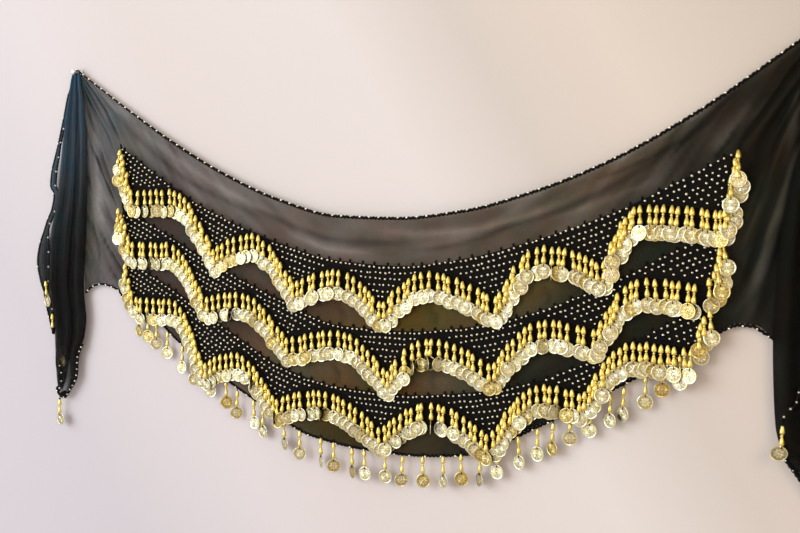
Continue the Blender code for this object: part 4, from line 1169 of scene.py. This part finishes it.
def build_stamped_ribs():
    """Fine ribs round a coin's edge and veins in its petals, from its flat stamp coordinates."""
    group, given, out = new_group("stamped_ribs", [("Ribs", 44.0), ("Veins", 8.0)], [("Height", "Float")])
    flat = add_node(group, "ShaderNodeUVMap", {"uv_map": "stamp"}).outputs[0]
    away = {"operation": "SUBTRACT"}
    from_middle = add_node(group, "ShaderNodeVectorMath", away, i0=flat, i1=(0.5, 0.5, 0.0)).outputs[0]
    axes = add_node(group, "ShaderNodeSeparateXYZ", Vector=from_middle).outputs
    angle = math_node(group, "ARCTAN2", axes["Y"], axes["X"])
    radius = add_node(group, "ShaderNodeVectorMath", {"operation": "LENGTH"}, i0=from_middle).outputs["Value"]
    ribs = math_node(group, "SINE", math_node(group, "MULTIPLY", angle, given["Ribs"]))
    waves = math_node(group, "MULTIPLY", given["Veins"], 4.0)
    veins = math_node(group, "COSINE", math_node(group, "MULTIPLY", angle, waves))
    edge = ramp(group, radius, (0.33, 0.0), (0.36, 1.0), (0.40, 1.0), (0.43, 0.0))
    inner = ramp(group, radius, (0.08, 0.0), (0.12, 1.0), (0.30, 1.0), (0.33, 0.0))
    height = math_node(group, "ADD", math_node(group, "MULTIPLY", ribs, edge),
                       math_node(group, "MULTIPLY", veins, inner))
    group.links.new(height, out["Height"])
    return group


def build_coin_gold():
    material, tree, shader = new_material(
        "stamped_gold_coins", Metallic=1.0, Coat_Weight=0.15, Coat_Roughness=0.2)
    worn = place_group(tree, worn_metal, Bright=(0.93, 0.93, 0.77, 1.0), Dull=(0.77, 0.70, 0.33, 1.0),
                       Size=150.0, Smooth=0.22, Rough=0.42)
    ribs = place_group(tree, stamped_ribs, Ribs=44.0, Veins=8.0)
    relief = add_node(tree, "ShaderNodeAttribute", {"attribute_name": "relief"}).outputs["Fac"]
    age = add_node(tree, "ShaderNodeAttribute", {"attribute_name": "age"}).outputs["Fac"]
    low = ramp(tree, relief, (0.02, 1.0), (0.45, 0.0))
    dark = math_node(tree, "MULTIPLY", low, math_node(tree, "MULTIPLY_ADD", age, 0.55, 0.5))
    deeper = mix_colour(tree, ramp(tree, age, (0.80, 0.0), (0.88, 0.75)), worn["Color"], (0.72, 0.54, 0.16))
    aged = mix_colour(tree, dark, deeper, (0.36, 0.27, 0.07))
    tree.links.new(aged, shader.inputs["Base Color"])
    tree.links.new(worn["Roughness"], shader.inputs["Roughness"])
    bump_into(tree, shader, ribs["Height"], 0.00010, 0.5)
    return material


stamped_ribs = build_stamped_ribs()
coin_gold = build_coin_gold()

# %% [markdown]
# ## The three waved rows
# The drops of a row hang side by side from the wave, nearer together than a coin is wide. Real coins then
# lie over each other like scales, so each one is turned a little: the side nearest its lower neighbour
# comes forward, and passes in front of that neighbour's spindle. On the level stretches small groups turn
# one way or the other.

# %% Rows of drops
Drops = namedtuple("Drops", "roots yaw lean swing age coin_lean")
THREAD_STITCH = ball(1.0, 6, 5)


def moved(shape, across=0.0, out=0.0, drop=0.0, scale=(1, 1, 1)):
    return Shape(shape.points * np.array(scale) + at(across, drop, out), shape.faces)


TIE = moved(THREAD_STITCH, drop=SPINDLE + 1.9, scale=(0.75, 1.5, 2.7))


def add_map(piece, flat):
    layer = piece.data.uv_layers.new(name="stamp")
    corners = np.empty(len(piece.data.loops), np.int32)
    piece.data.loops.foreach_get("vertex_index", corners)
    layer.data.foreach_set("uv", flat[corners].astype(np.float32).ravel())


def turned_at_hole(tilt, tip):
    """Turns a coin on the thread in its hole: tilt to the side, and tip its face upwards, in degrees."""
    hole = Vector((0, 0, -(SPINDLE + 2.5) * MM))
    turn = Matrix.Rotation(math.radians(tilt), 4, "Y") @ Matrix.Rotation(math.radians(-tip), 4, "X")
    return np.array(Matrix.Translation(hole) @ turn @ Matrix.Translation(-hole))


def add_coins(name, frames, ages):
    """Coins as one mesh, each with its relief and its own age for the finish to read."""
    count = len(frames)
    attributes = {"relief": np.tile(coin_relief, count), "age": np.repeat(ages, len(coin_relief))}
    discs = add_mesh(name, copies(coin_pattern, frames), coin_gold, attributes=attributes)
    add_map(discs, coin_stamp(count, coin_pattern))
    settle(discs, "gold")


def add_drops(name, drops, threads, coins=True, slim=1.0, at_hole=(0, 0)):
    """Spindles, coins and threads for a set of drops, as three joined meshes. threads are further ones.
    slim narrows the spindles, and at_hole turns the coins on their threads. Returns the spindles."""
    frames = [placing(root, 0, lean, swing)
              for root, lean, swing in zip(drops.roots, drops.lean, drops.swing)]
    spindles = copies(moved(spindle_shape, scale=(slim, slim, 1)), frames)
    hung = settle(add_mesh(name + "_spindles", spindles, spindle_gold), "gold")
    if coins:
        turns = zip(drops.roots, drops.yaw, drops.coin_lean, drops.swing)
        turned_frames = [placing(*turn) @ turned_at_hole(*at_hole) for turn in turns]
        add_coins(name + "_coins", turned_frames, drops.age)
        threads = joined(threads, copies(TIE, turned_frames))
    settle(add_mesh(name + "_threads", threads, braid), "braid")
    return hung


# %% Where the drops of a row hang
LINE_POINTS = 3000   # points along a row's line, so that drops can be spaced evenly on it
ROW_PITCH = {  # from drop to drop at places across: the rows are more crowded to the right
    "upper": ((110, 12.2), (700, 10.4), (960, 8.7)), "middle": ((110, 11.8), (700, 11.0), (960, 10.2)),
    "lower": ((110, 11.6), (700, 10.4), (960, 8.8)),
}


def row_drops(row, seed):
    rng = np.random.default_rng(seed)
    span = ROW_SPANS[row]
    fine = np.linspace(span[0], span[1], LINE_POINTS)
    across, drop = walk(fine, cord_drop(row, fine), np.interp(fine, *np.array(ROW_PITCH[row]).T))
    count = len(across)
    slope = (cord_drop(row, across + 4) - cord_drop(row, across - 4)) / 8
    # on level stretches small groups turn alike, and on slopes the coins turn towards the slope
    group = np.repeat(rng.choice([-1, 1], count), rng.integers(3, 7, count))[:count]
    steep = np.clip(slope * 1.5, -1, 1)
    climbing = np.clip(-steep, 0, 1)
    # a fifth of the coins on a rising slope lie over the crowd
    in_front = climbing * (rng.uniform(0, 1, count) < 0.2)
    yaw = -19 * np.clip(steep, 0, 1) - 17 * in_front + rng.normal(0, 4.5, count)
    yaw = yaw + (1 - np.abs(steep)) * group * rng.uniform(7, 15, count)
    # one in fourteen is turned nearly edge on
    turned_far = rng.uniform(0, 1, count) < 0.07
    yaw = np.where(turned_far, rng.choice([-1, 1], count) * rng.uniform(42, 66, count), yaw)
    roots = at(across + rng.normal(0, 1.3, count), drop + rng.normal(0, 0.8, count), drop_out(across) + 1.2)
    coin_lean = rng.normal(-1.2, 1.3, count) + (1 - np.abs(steep)) * rng.normal(1.5, 2.6, count)
    coin_lean = coin_lean + 7 * in_front
    coin_lean = np.where(turned_far, 4.5, np.maximum(coin_lean, -2.6)) - 2.4 * (climbing - in_front)
    lean, swing, age = rng.uniform(-0.6, 0.8, count), rng.normal(0, 3.0, count), rng.uniform(0, 1, count)
    return Drops(roots, -yaw, lean, swing, age, coin_lean)


# %% The cords of the rows


def stitch(point, tilt, *size):
    """The placing of one stitch: at a point in metres, tilted by degrees and stretched on its own axes."""
    turn = Matrix.Rotation(math.radians(tilt), 4, "Y")
    return np.array(Matrix.Translation(Vector(point)) @ turn @ Matrix.Diagonal((*size, 1.0)))


def cord_threads(row, seed):
    """The chain of stitches that the row hangs from, with a short thread down to each spindle."""
    rng = np.random.default_rng(seed)
    span = ROW_SPANS[row]
    fine = np.linspace(span[0] - 3, span[1] + 3, LINE_POINTS)
    across, drop = walk(fine, cord_drop(row, fine), 3.3)
    placings = []
    for step, (x, d) in enumerate(zip(across, drop)):
        slope = math.degrees(math.atan2(float(cord_drop(row, x + 1) - cord_drop(row, x - 1)), 2.0))
        point = at(x, d + rng.normal(0, 0.15), float(band_front(x)) + 1.9)
        placings.append(stitch(point, slope + (24 if step % 2 else -24), 2.5, 2.0, 1.35))
    return copies(THREAD_STITCH, placings)


for step, row in enumerate(BAND_NAMES):
    drops = row_drops(row, 31 + step)
    spindles = add_drops(row + "_row", drops, cord_threads(row, 51 + step))
    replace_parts(spindles, row + "_coin_row")
    print(row, "row:", len(drops.roots), "drops")

# %% [markdown]
# ## Picots
# Small knots of thread, called picots, stand on the upper edge of each band every couple of centimetres.
# Each is three stitches wound round each other, copied along the edge and turned at random.

# %% Picots
PICOT_PITCH = 19.0


def add_picots(row, seed):
    rng = np.random.default_rng(seed)
    turns = COIN_TURNS[row]
    across = np.arange(turns[0][0] + 9, turns[-1][0] - 6, PICOT_PITCH)
    across = across + rng.normal(0, 2.2, len(across))
    drop = band_top(row, across)
    free = drop > band_head(row, across) - 0.5
    placings = [placing(at(x, d - 1.1 - 0.9 * turn, float(band_front(x)) - 0.5), yaw=40 * turn,
                        swing=rng.uniform(-50, 50)) @ np.diag((1.9, 1.5, 1.6, 1.0))
                for x, d in zip(across[free], drop[free]) for turn in range(3)]
    settle(add_mesh(row + "_band_picots", copies(THREAD_STITCH, placings), braid), "braid")
    print(row, "picots:", len(placings) // 3)


for step, row in enumerate(BAND_NAMES):
    add_picots(row, 21 + step)

# %% [markdown]
# ## The two side columns
# The slanting ends of the bands carry drops too, about 10 mm apart, so they hang one over the other in a
# bunch. Most coins lie behind the spindles below them, a few in front, and the crowd pushes them outwards.
# Drops so close together are placed one by one, from a table.

# %% The two side columns
COLUMNS = {  # across and drop of each drop's root, and how far it swings outwards, in degrees
    "left": (
        (95, 128, 15), (101, 136, 12), (103, 145, 18), (105, 156, 11), (108, 164, 16), (109, 174, 9),
        (111, 185, 4), (91, 221, 8), (92, 230, 12), (99, 237, 15), (102, 246, 12), (104, 256, 16),
        (106, 264, 11), (109, 271, 3), (99, 310, 11), (104, 319, 15), (105, 333, 12), (107, 344, 6),
        (110, 353, 2)),
    "right": (
        (1047, 157, 2), (1043, 167, 14), (1042, 176, 11), (1040, 187, 1), (1038, 198, 8), (1036, 208, 12),
        (1034, 217, 6), (1033, 226, 3), (1029, 262, 13), (1027, 272, 5), (1025, 281, 12), (1023, 291, 14),
        (1020, 300, 9), (1015, 308, 4), (1016, 346, 6), (1010, 354, 2), (1006, 362, -3), (1003, 371, 5)),
}
COLUMN_LINES = {
    "left": ((93, 124), (104, 160), (111, 190), (92, 216), (104, 256), (110, 274), (98, 306), (110, 356)),
    "right": ((1047, 154), (1034, 228), (1029, 258), (1015, 310), (1016, 342), (1002, 376))}


def column_drops(side, outward, in_front, seed):
    """The drops of a column. outward is 1 or -1, and in_front numbers the coins that lie over the crowd."""
    rng = np.random.default_rng(seed)
    across, drop, swing = np.array(COLUMNS[side], float).T
    count = len(drop)
    layer = np.resize((0.0, 2.9, 1.2, 4.4), count)
    roots = at(across, drop, band_front(across) + 4.6 + layer)
    yaw = rng.uniform(2, 24, count)
    over = np.isin(np.arange(count), in_front)
    lean = np.where(over, rng.uniform(5.0, 8.0, count), rng.uniform(-5.5, -4.0, count) - layer)
    return Drops(roots, yaw, np.where(over, lean * 0.8, rng.uniform(-2, 1, count)), -outward * swing,
                 rng.uniform(0.2, 1, count), lean)


def column_threads(side):
    line = np.array(COLUMN_LINES[side], float)
    drop = np.arange(line[0, 1] - 2, line[-1, 1] + 2, 3.1)
    across = np.interp(drop, line[:, 1], line[:, 0])
    placings = [stitch(at(x, d, float(band_front(x)) + 1.2), 90 + (25 if step % 2 else -25), 2.4, 1.6, 1.5)
                for step, (x, d) in enumerate(zip(across, drop))]
    return copies(THREAD_STITCH, placings)


for side, outward, in_front, seed in (("left", -1, (2, 9), 71), ("right", 1, (0, 3, 6, 8, 11, 14, 16), 72)):
    drops = column_drops(side, outward, in_front, seed)
    spindles = add_drops(side + "_column", drops, column_threads(side))
    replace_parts(spindles, side + "_coin_column")
    print(side, "column:", len(drops.roots), "drops")

# %% [markdown]
# ## Beaded hems
# A chain of black stitches binds the edges of the chiffon, with a gold bead caught in it every one or two
# centimetres, and more seldom along one edge of the flap. A chain looks like a row of grains that lean left
# and right in turn, so that is how it is made: small swollen stitches copied along the line, tilted to one
# side and then to the other.

# %% Beaded hems
HEM_BEAD_R = 1.8
CHAIN_PITCH = 3.1   # millimetres from stitch to stitch
LOOK = 0.002        # metres ahead and back, between which a line's direction is taken


def walk_line(points, pitch):
    """Even steps along a line of points in metres: places and directions."""
    points = np.asarray(points, float)
    run = np.concatenate([[0], np.cumsum(np.linalg.norm(np.diff(points, axis=0), axis=1))])
    count = max(2, int(round(run[-1] / (pitch * MM))))
    steps = (np.arange(count) + 0.5) * run[-1] / count

    def on_line(lengths):
        return np.stack([np.interp(lengths, run, points[:, axis]) for axis in range(3)], -1)

    places = on_line(steps)
    along = on_line(np.minimum(steps + LOOK, run[-1])) - on_line(np.maximum(steps - LOOK, 0))
    return places, along / np.linalg.norm(along, axis=1)[:, None]


def chain_shape(points, thick=(1.6, 1.6)):
    """Stitches along a line, leaning left and right in turn. thick is their size at its start, and from its
    first fifth on."""
    places, along = walk_line(points, CHAIN_PITCH)
    sizes = np.interp(np.linspace(0, 1, len(places)), (0, 0.2, 1), (thick[0], thick[1], thick[1]))
    placings = []
    for step, (place, way, size) in enumerate(zip(places, along, sizes)):
        out = np.array((0.0, -1.0, 0.0))
        side = np.cross(out, way)
        side /= np.linalg.norm(side)
        front = np.cross(way, side)
        tilt = math.radians(26 if step % 2 else -26)
        leaned = way * math.cos(tilt) + side * math.sin(tilt)
        beside = side * math.cos(tilt) - way * math.sin(tilt)
        frame_of_stitch = np.eye(4)
        frame_of_stitch[:3, 0], frame_of_stitch[:3, 1] = leaned * 2.35 * size, front * 1.45 * size
        frame_of_stitch[:3, 2], frame_of_stitch[:3, 3] = beside * 1.25 * size, place
        placings.append(frame_of_stitch)
    return copies(THREAD_STITCH, placings)


def hem_beads(points, pitch, lift, rng, radius):
    """Beads along a hem. lift is how far each sits off the line, to its left and out, in millimetres."""
    places, along = walk_line(points, pitch)
    side = np.cross(np.array((0.0, -1.0, 0.0)), along)
    side /= np.linalg.norm(side, axis=1)[:, None]
    strayed = along * rng.normal(0, 0.0006, (len(places), 1))
    spots = places + side * lift[0] * MM + np.array((0.0, -lift[1] * MM, 0.0)) + strayed
    placings = [placing(spot, lean=rng.uniform(-40, 40), size=rng.uniform(0.9, 1.12)) for spot in spots]
    return copies(ball(radius, 10, 7, 0.9), placings)


def offset_line(line, away):
    """The (across, drop) points of a line moved to one side: up for a line that runs to the right."""
    line = np.asarray(line, float)
    along = np.gradient(line, axis=0)
    along /= np.linalg.norm(along, axis=1)[:, None]
    return line + np.stack([along[:, 1], -along[:, 0]], -1) * away


def cloth_middle(across):
    return cloth_front(across) - 0.7


def hem_path(line, away):
    """The path of a hem, moved to one side of a line and halfway into the cloth."""
    line = offset_line(line, away)
    return at(line[:, 0], line[:, 1], cloth_middle(line[:, 0]))


def add_hem(name, path, pitch, lift, seed, node=None, thick=(1.6, 1.6), bead=HEM_BEAD_R):
    rng = np.random.default_rng(seed)
    chain = settle(add_mesh(name + "_chain", chain_shape(path, thick), braid), "braid")
    settle(add_mesh(name + "_beads", hem_beads(path, pitch, lift, rng, bead), bead_gold), "gold")
    if node:
        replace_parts(chain, node)


def resample(points, step):
    points = np.asarray(points, float)
    run = np.concatenate([[0], np.cumsum(np.hypot(*np.diff(points, axis=0).T))])
    places = np.arange(0, run[-1], step)
    return np.stack([np.interp(places, run, points[:, 0]), np.interp(places, run, points[:, 1])], -1)


def on_hem(hem, across):
    """The (across, drop) points of a hem at places across."""
    return np.stack([across, smooth_line(hem, across)], -1)


def fan_edge(peg, corner):
    """The straight edge from a peg to the corner of the embroidered stretch."""
    share = np.linspace(0.045, 1, 40)[:, None]
    return np.array([peg, 0.0]) + (np.array(corner, float) - np.array([peg, 0.0])) * share


# %% Upper hem, lower hem and arches
band_stretch = np.linspace(BAND_LEFT, BAND_RIGHT, STEPS)
top_line = np.vstack([fan_edge(0, on_hem(TOP_HEM, BAND_LEFT)), on_hem(TOP_HEM, band_stretch[1:-1]),
                      fan_edge(PEG_SPAN, on_hem(TOP_HEM, BAND_RIGHT))[::-1]])
over_peg = np.array(((-5.0, 1.6), (-3.2, -1.6), (-1.2, -3.4), (1.2, -3.4)))   # the hem loops over the peg
over_right = over_peg[::-1] * (-1, 1) + (PEG_SPAN, 0)
top_path = np.vstack([over_peg, offset_line(top_line, 1.7), over_right])
add_hem("top_hem", at(top_path[:, 0], top_path[:, 1], cloth_middle(top_path[:, 0])),
        15.2, (1.1, 0.7), 81, "top_edging", (1.0, 1.7))

left_arch_line = resample(np.vstack([LEFT_ARCH[::-1], on_hem(BOTTOM_HEM, BAND_LEFT)]), 3)
right_arch_line = resample(np.vstack([on_hem(BOTTOM_HEM, BAND_RIGHT), RIGHT_ARCH]), 3)
add_hem("bottom_hem", hem_path(on_hem(BOTTOM_HEM, band_stretch), -1.9), 24.0, (-0.9, 0.8), 82)
add_hem("left_arch_hem", hem_path(left_arch_line, -1.9), 14.0, (-0.5, 1.1), 83,
        "left_arch_edging", (1.4, 1.4))
add_hem("right_arch_hem", hem_path(right_arch_line, -1.9), 17.0, (-0.5, 1.1), 84, "right_arch_edging")

# %% Hems of the tails and the flap
TIP_STEPS, FLAP_STEPS = 60, 130   # points along a tail's edge at its tip, and along the flap's


def tail_edge(levels, side, begin, end):
    """A tail's left (1) or right (2) edge between two drops, just outside its folds."""
    drop = np.linspace(begin, end, TIP_STEPS)
    across = smooth_line(levels[:, (0, side)], drop)
    rise = LEFT_PLEATS[0][1] if side == 1 else LEFT_PLEATS[-1][1]   # both tails' pleats begin and end alike
    out = TAIL_OUT - 1.0 + smooth_line(levels[:, (0, 3)], drop) * rise
    return across, drop, out


def tip_path(levels, begin_right, begin_left):
    """The hem of a tail's tip, down its right edge and up its left one."""
    end = levels[-1, 0]
    right, left = tail_edge(levels, 2, begin_right, end), tail_edge(levels, 1, end, begin_left)
    across, drop, out = (np.concatenate(values) for values in zip(right, left))
    line = offset_line(np.stack([across, drop], -1), 1.6)
    return at(line[:, 0], line[:, 1], out)


FOLD_HEMS = (   # the front layers' hems, across and drop, with a seed
    ("left_tail_fold_hem", ((-52, 478), (-51, 488), (-47.9, 496.8), (-45.8, 504.9), (-50.1, 515.3),
                            (-53, 523), (-55, 531)), 93),
    ("right_tail_fold_hem", ((1119, 432), (1115, 454), (1107, 460), (1100.5, 471), (1099, 492),
                             (1099, 510)), 94))
add_hem("left_tail_hem", tip_path(LEFT_TAIL, 446, 524), 10.6, (0.4, 1.2), 85,
        "left_tail_edging", (1.2, 1.6), 1.5)
add_hem("right_tail_hem", tip_path(RIGHT_TAIL, 470, 514), 15.0, (0.4, 1.2), 86,
        "right_tail_edging", (1.6, 1.9), 1.5)
for name, line, seed in FOLD_HEMS:
    fold = resample(line, 2)
    add_hem(name, at(fold[:, 0], fold[:, 1], TAIL_OUT + 6.5), 12.0, (0.2, 1.2), seed,
            thick=(0.9, 0.9), bead=1.45)
flap_drops = np.linspace(10, 427, FLAP_STEPS)
for name, side, pitch, seed in (("left_flap_hem", 1, 46.0, 87), ("right_flap_hem", 2, 24.0, 88)):
    edge = at(smooth_line(SIDE_FOLD[:, (0, side)], flap_drops), flap_drops, SIDE_FOLD_OUT + 0.4)
    add_hem(name, edge, pitch, (0.0, 1.3), seed, thick=(0.9, 1.1), bead=1.6)

# %% [markdown]
# ## Single drops along the lower hem
# Thirty-four drops hang from the lower hem, about 26 mm apart, so most coins have a gap between them. They
# swing freely, so they are turned more than the crowded ones above. Four more hang on the tails and the flap.

# %% Single drops along the lower hem
HEM_DROPS = np.array((  # across, and how much longer the thread is than on the others
    (119, -13), (138, -10), (155.8, -2), (175, 1), (205, 0), (229, 2), (258, 2), (288, 0), (310, 3),
    (340, 0), (357, 4), (394, 0), (424.5, -3), (461, -4), (483, -3), (512, 0), (534, -2), (566, -1),
    (595, 0), (627.5, -2), (659, -2), (686, -4), (713.5, 1), (738, -1), (768, -1), (795, 0), (816.5, 2),
    (839.5, -1), (867.5, 3), (892, 2), (910, 3), (937, 1), (960, -4), (979.5, -4)), float)


def hem_drops(seed):
    rng = np.random.default_rng(seed)
    across, longer = HEM_DROPS.T
    drop = smooth_line(BOTTOM_HEM, across) + 3.4 + longer
    roots = at(across, drop, cloth_front(across) - 0.7 + 3.0 * (longer < -1))
    count = len(across)
    lean = rng.uniform(0, 2.5, count)
    yaw, swing, age = rng.normal(0, 22, count), rng.normal(0, 2.2, count), rng.uniform(0.2, 1, count)
    return Drops(roots, yaw, lean, swing, age, lean)


drops = hem_drops(91)
hem_threads = copies(moved(THREAD_STITCH, drop=-1.5, scale=(0.9, 1.1, 3.4)),
                     [placing(root) for root in drops.roots])
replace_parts(add_drops("hem", drops, hem_threads, slim=0.82), "hem_coin_edging")

# %% Single drops on the tails and the flap
Single = namedtuple("Single", "node across drop out yaw swing lean coin tilt tip")
SINGLES = (
    Single("left_tip_drop", -61.5, 543.8, 11.4, 12, 3, 1.0, True, -32, 0),
    Single("left_flap_drop", -83, 343, 13.0, 16, -5, 1.5, True, -8, 0),
    Single("left_edge_drop", -69.5, 398, 13.6, -14, 0, 1.0, False, 0, 0),
    Single("right_corner_drop", 1101, 478, 20.6, 10, 2, 2.0, True, 12, 42),
)


def knot(across, drop, out, size=1.0):
    """A small knot of three wound stitches."""
    spot = at(across, drop, out)
    return copies(THREAD_STITCH, [placing(spot, yaw=30 * turn, swing=55 * turn - 40, size=size)
                                  @ np.diag((2.1, 1.6, 1.5, 1.0)) for turn in range(3)])


for single in SINGLES:
    one = Drops([at(single.across, single.drop, single.out)], [-single.yaw], [single.lean], [single.swing],
                [0.8], [single.lean])
    threads = knot(single.across, single.drop, single.out)
    if single.node == "left_tip_drop":   # the corner of the tail's tip is rolled up into a knot
        threads = joined(threads, knot(-50, 534, 15.5, 2.4), knot(-46, 531, 15.0, 2.0))
    if not single.coin:
        foot = single.drop + SPINDLE
        ends = [knot(single.across, foot + step, single.out - 1, 1.6) for step in (2.0, 5.0, 8.0)]
        threads = joined(threads, *ends)
    spindles = add_drops(single.node, one, threads, single.coin, 0.85, (single.tilt, single.tip))
    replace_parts(spindles, single.node)
print("single drops:", len(HEM_DROPS) + len(SINGLES))

# %% [markdown]
# ## A coin under the cloth
# When a tail is folded over itself, one of its coins can end up between two layers. Only a pale disc then
# shows through the front layer. The coin and its tie are those of the other drops, placed on their own.

# %% A coin caught under the left tail's front layer
across, drop, out = TUCKED_COIN
hung = [placing(at(across, drop - COIN_HANG, out), yaw=-3)]
add_coins("tucked_coin", hung, [0.95])
settle(add_mesh("tucked_coin_thread", copies(TIE, hung), braid), "braid")

# %% [markdown]
# ## Pegs
# The pegs are small turned pins of clear plastic: a flat foot, a thin stem that the hem loops over, and a
# round head that keeps it on. Clear plastic is a shader with transmission and a little haze.

# %% Pegs
PEG_PROFILE = (   # radius, and how far out from the wall
    (0.4, 0.0), (5.2, 0.0), (5.5, 0.3), (5.5, 1.2), (5.1, 1.7), (3.0, 2.2), (1.5, 2.8), (1.5, 14.4),
    (2.2, 14.9), (3.8, 15.3), (4.5, 16.2), (4.6, 16.9), (4.1, 17.9), (2.9, 18.6), (1.4, 18.95), (0.3, 19.0))


def build_clear():
    material, tree, shader = new_material("clear_plastic", Transmission_Weight=0.9, IOR=1.46, Coat_Weight=0.2)
    places = add_node(tree, "ShaderNodeTexCoord").outputs["Object"]
    haze = add_node(tree, "ShaderNodeTexNoise", Vector=places, Scale=180.0, Detail=3.0).outputs[0]
    tint = ramp(tree, haze, (0.3, (0.93, 0.95, 0.97)), (0.7, (0.80, 0.84, 0.88)))
    tree.links.new(tint, shader.inputs["Base Color"])
    tree.links.new(math_node(tree, "MULTIPLY", haze, 0.3), shader.inputs["Roughness"])
    bump_into(tree, shader, haze, 0.0001, 0.4)
    return material


clear = build_clear()
for side, across in (("left", 0.0), ("right", float(PEG_SPAN))):
    shape = turned(PEG_PROFILE, 24)
    flipped = np.stack([shape.points[:, 0] + across * MM, -shape.points[:, 2], shape.points[:, 1]], -1)
    peg = add_mesh(side + "_clear_peg", Shape(flipped, shape.faces), clear)
    settle(peg, "clear", side + "_peg")
